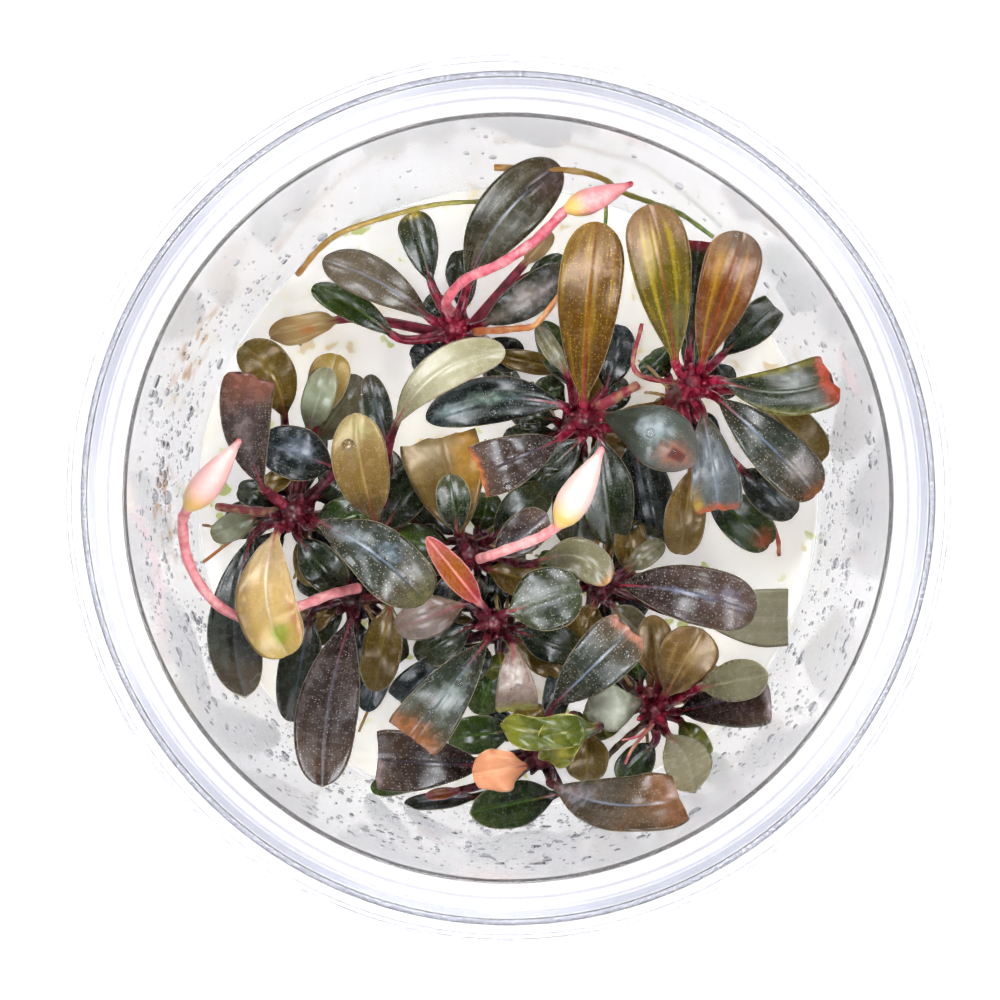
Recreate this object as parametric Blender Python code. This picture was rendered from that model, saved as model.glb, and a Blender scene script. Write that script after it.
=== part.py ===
"""Bucephalandra in a clear culture cup: plantlets of leathery dark leaves that grow on a disc of
nutrient gel, with three pink flower spathes, in an open stepped-rim cup.

Blender 4.5, metres, +Z up. The origin is the centre of the cup's foot, on the surface it stands on.
The plan of the plants is given in millimetres as it is seen from an eye straight above the cup: a
point (x, y) of the plan is where it appears on the plane of the rim, and `seen` puts it in its true
place at its own height.
"""

from math import cos, pi, radians, sin
from typing import NamedTuple

import bpy
from mathutils import Quaternion, Vector

MM = 0.001

# Driving dimensions, in millimetres
CUP_HEIGHT = 58.0
RIM_RADIUS = 52.5
WALL = 0.6
RIM_WALL = 0.8
LIP_DEPTH = 3.2
FLOOR_TOP = 2.0
FLOOR_INNER_RADIUS = 39.4
LEDGE_TOP = 54.0
LEDGE_INNER_RADIUS = 45.5
GEL_TOP = 12.0
FIT_GAP = 0.35
EYE_ABOVE_RIM = 420.0

# Facets
CUP_SIDES = 40
STEM_SIDES = 6
BLADE_RINGS = 6
PETIOLE_RINGS = 2

LEAF_THICKNESS = 0.55
PETIOLE_RADIUS = 0.55
SHEATH_RADIUS = 0.8
TIP_HALF_WIDTH = 0.35
STALK_RADIUS = 0.65

# Half width of a spathe along its length, both as shares of the whole
SPATHE_OUTLINE = (
    (0.02, 0.34), (0.12, 0.72), (0.3, 1.0), (0.5, 0.92), (0.72, 0.56), (0.9, 0.22), (0.95, 0.2), (1.0, 0.1),
)


class Stem(NamedTuple):
    """A rhizome: the points of its plan with their heights, from its foot on the gel to its crown."""

    name: str
    points: tuple
    radius: float


class Leaf(NamedTuple):
    """A leaf: its blade's base and tip in the plan, and how the blade lies."""

    name: str
    stem: str
    share: float  # where on the rhizome it grows, from 0 at the foot to 1 at the crown
    base: tuple
    tip: tuple
    width: float
    heights: tuple  # of the midrib at the base, the middle and the tip
    bow: float = 0.0  # how far the middle of the midrib lies to its left
    belly: float = 0.5  # where along the blade it is widest
    cut: float = 1.0  # how much of the blade is there: under 1 the tip is cut or withered
    cup: float = 0.15  # rise of the edges over the midrib, as a share of the half width
    roll: float = 0.0  # degrees, positive raises the left edge
    blunt: float = 2.4  # over 2 the tip is blunt


class Spathe(NamedTuple):
    """A flower: the route of its stalk in the plan with heights, and its spathe's tip and width."""

    name: str
    route: tuple
    tip: tuple
    width: float


STEMS = (
    Stem("rhizome_north_west", ((-3.0, 17.5, 12.4), (-5.2, 19.2, 17.0), (-6.3, 20.1, 24.0)), 1.5),
    Stem("rhizome_north", ((6.0, 7.0, 12.4), (8.0, 8.6, 19.0), (8.9, 9.5, 27.5)), 1.5),
    Stem("rhizome_north_east", ((18.0, 10.0, 12.4), (20.6, 12.4, 21.0), (21.5, 13.7, 31.0)), 1.6),
    Stem("rhizome_mid_west", ((-12.0, -0.5, 12.4), (-14.6, -4.4, 17.5), (-15.1, -5.4, 25.0)), 1.3),
    Stem("rhizome_west", ((-22.0, -3.5, 12.4), (-25.0, -2.2, 19.0), (-25.5, -1.6, 28.0)), 1.6),
    Stem("rhizome_south_west", ((-15.5, -9.5, 12.4), (-18.0, -11.4, 17.0), (-18.6, -12.0, 24.0)), 1.4),
    Stem("rhizome_centre", ((-2.0, -4.5, 12.4), (-4.2, -6.0, 18.0), (-4.7, -6.4, 26.0)), 1.4),
    Stem("rhizome_centre_south", ((0.5, -17.5, 12.4), (-1.2, -15.4, 19.0), (-1.8, -14.6, 28.0)), 1.4),
    Stem("rhizome_east", ((9.0, -8.0, 12.4), (10.6, -10.0, 19.0), (11.1, -10.8, 27.0)), 1.4),
    Stem("rhizome_south_east", ((14.0, -22.0, 12.4), (16.6, -24.6, 18.0), (17.3, -25.4, 25.5)), 1.6),
    Stem("rhizome_south", ((5.0, -29.0, 12.4), (4.2, -30.2, 17.0), (3.8, -30.9, 25.0)), 1.4),
)

LEAVES = (
    # north-west plantlet
    Leaf("leaf_nw_west", "rhizome_north_west", 0.85, (-9.4, 21.3), (-21.9, 28.1), 5.6, (24, 27, 25),
         bow=-0.9, belly=0.64, cup=-0.2),
    Leaf("leaf_nw_small", "rhizome_north_west", 1.0, (-9.1, 25.5), (-11.3, 33.6), 4.8, (25, 27, 28),
         belly=0.74),
    Leaf("leaf_nw_north", "rhizome_north_west", 0.95, (-4.7, 25.2), (6.3, 39.0), 7.8, (26, 33, 35),
         bow=1.7, belly=0.62),
    Leaf("leaf_nw_east", "rhizome_north_west", 0.8, (-2.8, 20.6), (6.8, 27.2), 5.0, (24, 27, 25),
         bow=-0.4, belly=0.55),
    # north plantlet
    Leaf("leaf_north_ochre", "rhizome_north", 1.0, (8.9, 11.6), (10.6, 32.6), 7.8, (31, 40, 44),
         bow=0.3, belly=0.66, blunt=3.0),
    Leaf("leaf_north_blue", "rhizome_north", 0.9, (6.2, 11.0), (-9.7, 9.3), 6.1, (28, 30, 27), bow=-1.5,
         belly=0.5, cup=-0.25),
    Leaf("leaf_north_fold", "rhizome_north", 0.85, (5.9, 6.9), (-3.3, 3.1), 7.0, (28, 33, 31), bow=0.2,
         belly=0.62, cut=0.74),
    Leaf("leaf_north_south", "rhizome_north", 0.75, (10.9, 6.9), (12.3, -5.5), 7.0, (25, 23, 20)),
    Leaf("leaf_north_gloss", "rhizome_north", 0.95, (11.4, 9.7), (22.3, 4.3), 7.8, (30, 37, 33),
         bow=0.7, belly=0.6, cup=-0.35, blunt=3.0),
    # north-east plantlet
    Leaf("leaf_ne_olive", "rhizome_north_east", 0.96, (19.7, 16.3), (16.5, 34.6), 7.6, (34, 42, 46),
         bow=-0.3, belly=0.74, blunt=2.6),
    Leaf("leaf_ne_amber", "rhizome_north_east", 0.9, (22.9, 16.0), (27.7, 31.4), 7.1, (33, 42, 45),
         belly=0.74),
    Leaf("leaf_ne_red", "rhizome_north_east", 0.84, (21.5, 17.8), (22.9, 30.3), 5.2, (30, 34, 36),
         belly=0.7, cut=0.85),
    Leaf("leaf_ne_east", "rhizome_north_east", 0.9, (25.5, 13.8), (38.2, 14.0), 6.8, (32, 36, 38),
         bow=-1.3, belly=0.76, cut=0.88, cup=0.3),
    Leaf("leaf_ne_spotted", "rhizome_north_east", 0.8, (24.8, 11.7), (36.4, 0.4), 6.7, (30, 34, 31),
         bow=0.3, belly=0.68, blunt=3.0),
    Leaf("leaf_ne_south", "rhizome_north_east", 0.7, (23.0, 10.0), (24.8, -1.3), 6.4, (27, 29, 25),
         bow=0.2, belly=0.7, cut=0.84),
    # west plantlet
    Leaf("leaf_west_torn", "rhizome_west", 1.0, (-28.9, 1.4), (-30.4, 14.4), 6.6, (31, 38, 43), bow=1.2,
         belly=0.64, cut=0.76),
    Leaf("leaf_west_khaki", "rhizome_west", 0.95, (-27.3, -4.2), (-26.0, -18.6), 7.8, (31, 35, 33),
         bow=-1.9, belly=0.66, blunt=2.6),
    Leaf("leaf_west_slate", "rhizome_west", 0.8, (-30.2, -4.7), (-31.0, -23.4), 6.8, (22, 26, 37),
         bow=-1.7, belly=0.68, blunt=2.6),
    Leaf("leaf_west_blue", "rhizome_west", 0.9, (-22.4, -2.8), (-9.6, -12.2), 7.8, (30, 36, 33),
         bow=0.9, belly=0.66, blunt=2.6),
    Leaf("leaf_wu_inner", "rhizome_west", 0.7, (-20.8, 3.8), (-29.0, 6.6), 6.8, (26, 29, 27), 0, 0.5),
    Leaf("leaf_wu_olive", "rhizome_west", 0.5, (-26.4, 9.6), (-31.4, 18.0), 6.1, (23, 29, 27), -1.3, 0.6),
    # middle west
    Leaf("leaf_mid_khaki", "rhizome_mid_west", 0.95, (-15.6, -2.6), (-17.8, 10.0), 7.1, (28, 34, 37),
         bow=0.6, belly=0.52),
    Leaf("leaf_mid_grey", "rhizome_mid_west", 0.6, (-13.2, 8.7), (-0.3, 17.2), 5.3, (28, 33, 34),
         bow=2.3, belly=0.62),
    # south-west plantlet
    Leaf("leaf_sw_long", "rhizome_south_west", 0.95, (-18.6, -14.6), (-21.9, -34.0), 7.8, (25, 32, 38),
         bow=-0.9, belly=0.6, blunt=2.6),
    Leaf("leaf_sw_olive", "rhizome_south_west", 0.7, (-13.9, -12.6), (-15.8, -22.8), 5.2, (21, 22, 19)),
    # centre
    Leaf("leaf_c_brown", "rhizome_centre", 0.8, (-5.6, -4.2), (-8.2, 7.0), 10.2, (24, 26, 25),
         belly=0.66, cut=0.78),
    Leaf("leaf_c_purple", "rhizome_centre", 0.9, (-1.6, -6.9), (4.6, -1.9), 5.2, (27, 28, 29), 0, 0.6),
    Leaf("leaf_c_ribbed", "rhizome_centre", 0.5, (3.8, -7.5), (11.7, -10.2), 5.0, (27, 31, 31), 2.0, 0.6),
    # centre south
    Leaf("leaf_cs_round", "rhizome_centre_south", 1.0, (0.2, -13.4), (8.6, -10.6), 7.9, (30, 32, 33),
         belly=0.5, blunt=3.0),
    Leaf("leaf_cs_new", "rhizome_centre_south", 1.0, (-3.2, -12.6), (-9.6, -4.6), 3.4, (30, 33, 35),
         belly=0.5, cup=0.7, blunt=1.6),
    Leaf("leaf_cs_large", "rhizome_centre_south", 0.9, (-2.6, -17.0), (-11.3, -28.3), 7.4, (29, 36, 37),
         belly=0.8, cut=0.88),
    Leaf("leaf_cs_lilac", "rhizome_centre_south", 0.85, (0.6, -17.4), (1.1, -24.9), 5.4, (28, 31, 28),
         belly=0.8, cut=0.88),
    # east
    Leaf("leaf_e_spotted", "rhizome_east", 1.0, (13.4, -10.3), (29.1, -13.7), 7.5, (29, 37, 36),
         bow=0.8, belly=0.64, blunt=2.6),
    Leaf("leaf_e_pale", "rhizome_east", 0.4, (22.7, -14.1), (33.0, -14.1), 7.6, (20, 21, 21),
         belly=0.62, cut=0.76, blunt=3.0),
    # south-east plantlet
    Leaf("leaf_se_khaki", "rhizome_south_east", 0.95, (18.6, -23.2), (23.0, -15.5), 7.1, (27, 31, 33),
         belly=0.66),
    Leaf("leaf_se_sage", "rhizome_south_east", 0.85, (22.9, -22.4), (30.7, -20.8), 5.2, (31, 39, 43),
         belly=0.55),
    Leaf("leaf_se_cut", "rhizome_south_east", 0.6, (20.3, -25.2), (30.7, -22.7), 8.2, (21.5, 29, 39),
         belly=0.8, cut=0.88),
    Leaf("leaf_se_south", "rhizome_south_east", 0.8, (18.9, -28.0), (21.9, -34.6), 6.1, (24, 33, 41),
         bow=0.8, belly=0.6),
    Leaf("leaf_se_shine", "rhizome_south_east", 0.75, (15.6, -24.2), (9.0, -25.3), 6.3, (24, 27, 24),
         belly=0.5, cup=-0.3),
    # south plantlet
    Leaf("leaf_s_blue", "rhizome_south", 0.9, (5.4, -24.4), (14.4, -15.6), 7.3, (27, 33, 35),
         belly=0.66, cut=0.9),
    Leaf("leaf_s_cut", "rhizome_south", 0.8, (-3.0, -31.6), (-15.3, -30.9), 7.8, (26, 30, 30),
         belly=0.76, cut=0.86),
    Leaf("leaf_s_dead", "rhizome_south", 1.0, (2.0, -31.6), (-4.2, -32.6), 5.2, (29, 33, 33), belly=0.5,
         blunt=3.0),
    Leaf("leaf_s_large", "rhizome_south", 0.85, (5.6, -34.0), (20.2, -35.4), 7.6, (34, 46, 47),
         bow=-1.5, belly=0.6, cut=0.9, roll=-25, blunt=3.0),
    Leaf("leaf_s_green", "rhizome_south", 0.5, (5.6, -35.0), (-4.4, -37.2), 6.0, (21, 25, 29)),
)

SPATHES = (
    Spathe("spathe_north_west",
           ((-6.7, 21.9, 26), (-7.2, 23.3, 30), (-5.0, 25.8, 34), (-1.0, 27.6, 37), (3.2, 30.4, 39),
            (6.8, 34.0, 41)),
           (14.8, 37.2, 43), 3.9),
    Spathe("spathe_west",
           ((-17.6, -10.6, 25.5), (-21.0, -11.4, 29), (-25.0, -12.9, 29.5), (-30.0, -14.4, 31),
            (-34.5, -12.4, 33), (-37.6, -7.8, 33), (-38.4, -3.0, 36), (-37.8, -1.2, 38)),
           (-31.6, 6.9, 44), 4.6),
    Spathe("spathe_centre", ((-3.4, -7.2, 28.5), (-1.0, -6.4, 32), (3.6, -4.7, 36), (6.0, -3.2, 38)),
           (11.2, 6.0, 43), 5.0),
)


def seen(x, y, z):
    """The point at height z that an eye above the cup sees at (x, y) on the plane of the rim."""
    scale = (EYE_ABOVE_RIM + CUP_HEIGHT - z) / EYE_ABOVE_RIM
    return Vector((x * scale, y * scale, z))


def wall_radius(z):
    """Inner radius of the cup's tapered wall at height z."""
    slope = (LEDGE_INNER_RADIUS - FLOOR_INNER_RADIUS) / (LEDGE_TOP - FLOOR_TOP)
    return FLOOR_INNER_RADIUS + slope * (z - FLOOR_TOP)


def material(name, colour, roughness, transmission=0.0):
    made = bpy.data.materials.get(name)
    if made is None:
        made = bpy.data.materials.new(name)
        made.use_nodes = True
        shader = made.node_tree.nodes["Principled BSDF"]
        shader.inputs["Base Color"].default_value = (*colour, 1.0)
        shader.inputs["Roughness"].default_value = roughness
        shader.inputs["Metallic"].default_value = 0.0
        shader.inputs["Transmission Weight"].default_value = transmission
    return made


def solid(name, points, faces, finish):
    """A smooth-shaded mesh object from points in millimetres."""
    mesh = bpy.data.meshes.new(name)
    mesh.from_pydata([tuple(p * MM for p in point) for point in points], [], faces)
    mesh.shade_smooth()
    mesh.set_sharp_from_angle(angle=radians(40))
    mesh.materials.append(finish)
    made = bpy.data.objects.new(name, mesh)
    bpy.context.scene.collection.objects.link(made)
    return made


def loft(name, rings, finish):
    """A closed body through rings of equally many points, capped at both ends."""
    sides = len(rings[0])
    points = [point for ring in rings for point in ring]
    faces = [tuple(range(sides))[::-1]]
    for band in range(len(rings) - 1):
        low, high = band * sides, (band + 1) * sides
        for k in range(sides):
            after = (k + 1) % sides
            faces.append((low + k, low + after, high + after, high + k))
    faces.append(tuple(range(len(points) - sides, len(points))))
    return solid(name, points, faces, finish)


def turned(name, profile, finish):
    """A solid of revolution. The profile runs from the axis out along its underside and back on top."""
    rings = profile[1:-1]
    points = [(0.0, 0.0, profile[0][1]), (0.0, 0.0, profile[-1][1])]
    for k in range(CUP_SIDES):
        angle = 2 * pi * k / CUP_SIDES
        points += [(r * cos(angle), r * sin(angle), z) for r, z in rings]
    faces = []
    count = len(rings)
    for k in range(CUP_SIDES):
        here = 2 + k * count
        there = 2 + (k + 1) % CUP_SIDES * count
        faces.append((0, there, here))
        faces.append((1, here + count - 1, there + count - 1))
        for i in range(count - 1):
            faces.append((here + i, there + i, there + i + 1, here + i + 1))
    return solid(name, points, faces, finish)


def curve_through(points, count):
    """Points and tangents at even shares of a smooth curve (Catmull-Rom) through the given points."""
    ends = [2 * points[0] - points[1], *points, 2 * points[-1] - points[-2]]
    spans = len(points) - 1
    places, tangents = [], []
    for step in range(count):
        share = step / (count - 1) * spans
        i = min(int(share), spans - 1)
        t = share - i
        a, b, c, d = ends[i : i + 4]
        square = 2 * a - 5 * b + 4 * c - d
        cube = 3 * b - a - 3 * c + d
        places.append(0.5 * (2 * b + (c - a) * t + square * t**2 + cube * t**3))
        tangents.append((c - a + 2 * square * t + 3 * cube * t**2).normalized())
    return places, tangents


def round_ring(centre, tangent, side_hint, radius, flat=1.0):
    """A ring of points round a tangent, its breadth along the hint and flat times that across."""
    side = (side_hint - side_hint.dot(tangent) * tangent).normalized()
    up = tangent.cross(side)
    ring = []
    for k in range(STEM_SIDES):
        angle = 2 * pi * k / STEM_SIDES
        ring.append(centre + radius * (side * cos(angle) + up * flat * sin(angle)))
    return ring


def stem_axis(stem):
    return [seen(*point) for point in stem.points]


def build_stem(stem, finish):
    """A rhizome: a knobbly, slightly tapering stem with a domed crown."""
    places, tangents = curve_through(stem_axis(stem), 6)
    rings = []
    for i, (place, tangent) in enumerate(zip(places, tangents)):
        swell = 1.08 if i % 2 else 0.94
        if i == 0:
            tangent = Vector((0, 0, 1))
        radius = stem.radius * swell * (1 - 0.12 * i / 5)
        rings.append(round_ring(place, tangent, Vector((1, 0.2, 0)), radius))
    crown = places[-1] + tangents[-1] * stem.radius * 0.55
    rings.append(round_ring(crown, tangents[-1], Vector((1, 0.2, 0)), stem.radius * 0.45))
    return loft(stem.name, rings, finish)


def blade_share(leaf, u):
    """Half width of the blade at share u of its length, as a share of its greatest."""
    whole = min(u * leaf.cut, 1.0)
    if whole < leaf.belly:
        return sin(pi / 2 * whole / leaf.belly) ** 0.75
    past = (whole - leaf.belly) / (1 - leaf.belly)
    return max(1 - past**leaf.blunt, 0.0) ** 0.5


def midrib(leaf):
    """The blade's base, its Bezier handle and its tip."""
    low, middle, high = leaf.heights
    base = seen(*leaf.base, low)
    tip = seen(*leaf.tip, high)
    run = Vector((leaf.tip[0] - leaf.base[0], leaf.tip[1] - leaf.base[1]))
    left = Vector((-run.y, run.x)).normalized()
    centre = seen(
        (leaf.base[0] + leaf.tip[0]) / 2 + left.x * leaf.bow,
        (leaf.base[1] + leaf.tip[1]) / 2 + left.y * leaf.bow,
        middle,
    )
    return base, 2 * centre - (base + tip) / 2, tip


def leaf_section(leaf, place, tangent, half_width, thickness, cup):
    """The ring of a leaf's cross-section: five points over its top, two under it."""
    run = Vector((leaf.tip[0] - leaf.base[0], leaf.tip[1] - leaf.base[1], 0))
    left = Vector((-run.y, run.x, 0))
    side = (left - left.dot(tangent) * tangent).normalized()
    side = Quaternion(tangent, radians(leaf.roll)) @ side
    up = tangent.cross(side)

    def at(v, face):
        rise = cup * half_width * abs(v) ** 1.6
        depth = thickness / 2 * (1 - v * v)
        return place + side * v * half_width + up * (rise + face * depth)

    over = [at(v, 1) for v in (1.0, 0.5, 0.0, -0.5, -1.0)]
    under = [at(v, -1) for v in (-0.4, 0.4)]
    return over + under


def petiole_start(leaf, stem, towards):
    """Where a petiole meets its rhizome: on its side, facing the blade."""
    places, _ = curve_through(stem_axis(stem), 21)
    root = places[round(leaf.share * 20)]
    away = Vector((towards.x - root.x, towards.y - root.y, 0)).normalized()
    return root + away * (stem.radius * 1.1 + SHEATH_RADIUS * 0.5 + FIT_GAP), away


def build_leaf(leaf, stems, finish):
    """A leaf in one piece: a round petiole that widens into a thin blade."""
    base, handle, tip = midrib(leaf)
    start, away = petiole_start(leaf, stems[leaf.stem], base)
    reach = (base - start).length / 3
    lead = start + (away + Vector((0, 0, 0.7))).normalized() * reach
    follow = base - (handle - base).normalized() * reach
    rings = []
    for i in range(PETIOLE_RINGS):
        t = i / PETIOLE_RINGS
        s = 1 - t
        place = s**3 * start + 3 * s * s * t * lead + 3 * s * t * t * follow + t**3 * base
        slope = 3 * s * s * (lead - start) + 6 * s * t * (follow - lead) + 3 * t * t * (base - follow)
        radius = PETIOLE_RADIUS * t + SHEATH_RADIUS * s
        rings.append(leaf_section(leaf, place, slope.normalized(), radius, 2 * radius, 0.0))
    for i in range(BLADE_RINGS + 1):
        u = sin(pi / 2 * i / BLADE_RINGS)
        s = 1 - u
        place = s * s * base + 2 * s * u * handle + u * u * tip
        slope = 2 * s * (handle - base) + 2 * u * (tip - handle)
        half_width = max(leaf.width / 2 * blade_share(leaf, u), TIP_HALF_WIDTH)
        thickness = LEAF_THICKNESS if i else 1.6 * PETIOLE_RADIUS
        rings.append(leaf_section(leaf, place, slope.normalized(), half_width, thickness, leaf.cup))
    return loft(leaf.name, rings, finish)


def build_spathe(spathe, finish):
    """A flower in one piece: a curved stalk and a closed, pointed spathe."""
    route = [seen(*point) for point in spathe.route]
    neck, tip = route[-1], seen(*spathe.tip)
    places, tangents = curve_through(route, 3 * len(route) - 2)
    hint = Vector((0.3, 0.2, 1.0))
    rings = [round_ring(p, t, hint, STALK_RADIUS) for p, t in zip(places[:-1], tangents[:-1])]
    axis = tip - neck
    for share, part in SPATHE_OUTLINE:
        rings.append(round_ring(neck + axis * share, axis.normalized(), hint, spathe.width / 2 * part, 0.8))
    return loft(spathe.name, rings, finish)


def cup_profile():
    """The cup: a foot ring, a tapered wall, a ledge and a rim one step up, with a short lip."""
    foot = FLOOR_INNER_RADIUS + WALL
    under_ledge = LEDGE_TOP - RIM_WALL
    under_rim = CUP_HEIGHT - RIM_WALL
    lip_inside = RIM_RADIUS - RIM_WALL
    lip_bottom = CUP_HEIGHT - LIP_DEPTH
    return [
        (0.0, 1.0), (foot - 4.0, 1.0), (foot - 3.2, 0.0), (foot - 0.9, 0.0), (foot - 0.1, 0.7),
        (LEDGE_INNER_RADIUS + WALL - 0.1, under_ledge), (49.0, under_ledge), (49.5, under_ledge + 0.4),
        (50.5, under_rim), (lip_inside, under_rim), (lip_inside, lip_bottom), (RIM_RADIUS, lip_bottom),
        (RIM_RADIUS, CUP_HEIGHT - 0.5), (RIM_RADIUS - 0.5, CUP_HEIGHT), (49.7, CUP_HEIGHT),
        (48.7, LEDGE_TOP), (47.2, LEDGE_TOP), (47.0, LEDGE_TOP - 0.2),
        (LEDGE_INNER_RADIUS + 0.3, LEDGE_TOP - 0.2), (LEDGE_INNER_RADIUS, LEDGE_TOP - 0.6),
        (FLOOR_INNER_RADIUS + 0.1, FLOOR_TOP + 0.9), (FLOOR_INNER_RADIUS - 1.0, FLOOR_TOP), (0.0, FLOOR_TOP),
    ]


def gel_profile():
    """The gel: a disc that fills the cup's foot, with a low meniscus at the wall."""
    bottom = FLOOR_TOP + FIT_GAP
    wall = wall_radius(GEL_TOP)
    return [
        (0.0, bottom), (FLOOR_INNER_RADIUS - 1.4, bottom),
        (wall_radius(bottom + 1.2) - FIT_GAP, bottom + 1.2),
        (wall_radius(GEL_TOP + 0.8) - FIT_GAP, GEL_TOP + 0.8),
        (wall - 1.2, GEL_TOP + 0.3), (wall - 2.6, GEL_TOP), (0.0, GEL_TOP),
    ]


def main():
    for old in list(bpy.data.objects):
        bpy.data.objects.remove(old)
    clear = material("clear_plastic", (0.95, 0.96, 0.98), 0.05, 1.0)
    jelly = material("culture_gel", (0.93, 0.91, 0.80), 0.1, 0.9)
    stem_red = material("rhizome_red", (0.22, 0.03, 0.04), 0.4)
    leaf_dark = material("leaf_dark_green", (0.07, 0.08, 0.05), 0.35)
    leaf_brown = material("leaf_brown", (0.25, 0.16, 0.05), 0.4)
    pink = material("spathe_pink", (0.85, 0.35, 0.36), 0.4)
    turned("cup", cup_profile(), clear)
    turned("culture_gel", gel_profile(), jelly)
    stems = {stem.name: stem for stem in STEMS}
    for stem in STEMS:
        build_stem(stem, stem_red)
    brown = ("ochre", "amber", "khaki", "brown", "dead", "olive", "torn")
    for leaf in LEAVES:
        build_leaf(leaf, stems, leaf_brown if leaf.name.split("_")[-1] in brown else leaf_dark)
    for spathe in SPATHES:
        build_spathe(spathe, pink)


main()
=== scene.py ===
import random
from math import cos, exp, hypot, pi, radians, sin
from typing import NamedTuple

import bpy
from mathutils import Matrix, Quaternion, Vector, noise
from mathutils.bvhtree import BVHTree


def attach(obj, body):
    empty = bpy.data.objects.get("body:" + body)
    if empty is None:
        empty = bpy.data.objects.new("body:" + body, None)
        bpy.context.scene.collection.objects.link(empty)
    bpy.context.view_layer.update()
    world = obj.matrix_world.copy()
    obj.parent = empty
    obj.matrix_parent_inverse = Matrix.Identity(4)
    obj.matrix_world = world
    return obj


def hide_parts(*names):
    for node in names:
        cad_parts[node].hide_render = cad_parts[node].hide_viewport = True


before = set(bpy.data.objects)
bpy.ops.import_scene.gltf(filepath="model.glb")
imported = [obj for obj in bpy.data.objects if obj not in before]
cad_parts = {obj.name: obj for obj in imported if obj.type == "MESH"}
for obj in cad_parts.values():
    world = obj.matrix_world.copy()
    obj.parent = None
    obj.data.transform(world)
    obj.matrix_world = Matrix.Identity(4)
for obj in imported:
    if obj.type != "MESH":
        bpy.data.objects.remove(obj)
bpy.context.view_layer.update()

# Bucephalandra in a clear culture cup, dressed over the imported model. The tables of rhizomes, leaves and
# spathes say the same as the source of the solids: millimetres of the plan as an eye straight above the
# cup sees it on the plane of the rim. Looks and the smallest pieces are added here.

MM = 0.001
SEED = 7  # of everything that is strewn or grown by rule

# Driving dimensions of the solids, in millimetres
CUP_HEIGHT = 58.0
RIM_RADIUS = 52.5
WALL = 0.6
RIM_WALL = 0.8
LIP_DEPTH = 3.2
FLOOR_TOP = 2.0
FLOOR_INNER_RADIUS = 39.4
LEDGE_TOP = 54.0
LEDGE_INNER_RADIUS = 45.5
WALL_SLOPE = (LEDGE_INNER_RADIUS - FLOOR_INNER_RADIUS) / (LEDGE_TOP - FLOOR_TOP)
STEP_UNDER = (49.0, 49.5, 50.5)  # radii under the step from ledge to rim, outwards
STEP_OVER = (49.7, 48.7)  # radii of the step's top and foot
RAISED_LEDGE = (47.2, 47.0)  # radii where the ledge's raised outer part ends, above and below
GEL_TOP = 12.0
EYE_ABOVE_RIM = 420.0
LEAF_THICKNESS = 0.38
EDGE_THICKNESS = 0.10
PETIOLE_RADIUS = 0.55
SHEATH_RADIUS = 0.8
STALK_RADIUS = 0.65

# The photograph's frame: how wide it is on the plane of the rim, and where the cup's axis is in it
FRAME_WIDTH = 118.0
AXIS_LEFT_OF_MIDDLE = -0.008
AXIS_BELOW_MIDDLE = -0.002
SENSOR = 36.0

# Brightness of the room overhead and near the horizon, and of the soft panels that hang round the camera
OVERHEAD_LIGHT = 0.08
HORIZON_LIGHT = 0.35
PANEL_LIGHT = 10.6
PANELS = 5
PANEL_TURN = 0.6  # radians

# Where the light of the room changes, as the sine of the height over the horizon
HORIZON_FADE = (0.40, 0.15)
PANEL_FOOT = (0.54, 0.62)
PANEL_TOP = (0.90, 0.80)
PANEL_SIDE = (-0.2, 0.5)  # of a wave that passes once over each panel

# Half the side of the floor, in metres
FLOOR_REACH = 3.0

# Fineness of the visible meshes
CUP_SIDES = 192
CORNER_STEPS = 4
BLADE_RINGS = 36
PETIOLE_RINGS = 8
TOP_POINTS = 17
UNDER_POINTS = 9
STEM_SIDES = 16
STEM_RINGS = 26
SPATHE_SIDES = 20
ROOT_SIDES = 6
DROP_SIDES = 10


class Stem(NamedTuple):
    """A rhizome, from its foot in the gel up to its crown."""

    name: str
    points: tuple
    radius: float
    red: float = 0.15  # how red its crown and the stalks of its leaves are
    sheaths: int = 5  # bases of old leaves round its crown
    young: int = 9  # young leaves by rule; some are left out near the wall


class Leaf(NamedTuple):
    """A leaf: where it grows, where its blade starts and ends, and how the blade is shaped."""

    name: str
    stem: str  # its rhizome's name after rhizome_
    share: float  # how far up the rhizome its stalk starts
    base: tuple
    tip: tuple
    width: float
    heights: tuple  # of the blade's base, middle and tip
    look: str = "olive"
    bow: float = 0.0  # how far the middle stands to the left
    belly: float = 0.5  # where the whole blade is widest
    cut: float = 1.0  # share of the whole blade that is left
    cup: float = 0.15  # how far the margins rise, as a share of the half width
    roll: float = 0.0  # degrees round its own axis
    blunt: float = 2.4  # more for a rounder tip
    wave: float = 0.02  # waviness of the margins, as a share of the half width
    torn: float = 0.0  # how ragged a cut end is, in millimetres
    patches_and_painted_highlights: tuple = ()  # patches of the leaf's own colour and of painted highlight: share along and across, reach along and across, colour, strength


class Spathe(NamedTuple):
    """A flower: the route of its stalk, and the tip and width of its spathe."""

    name: str
    route: tuple
    tip: tuple
    width: float
    pale: float  # 0 pink, 1 nearly white


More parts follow.
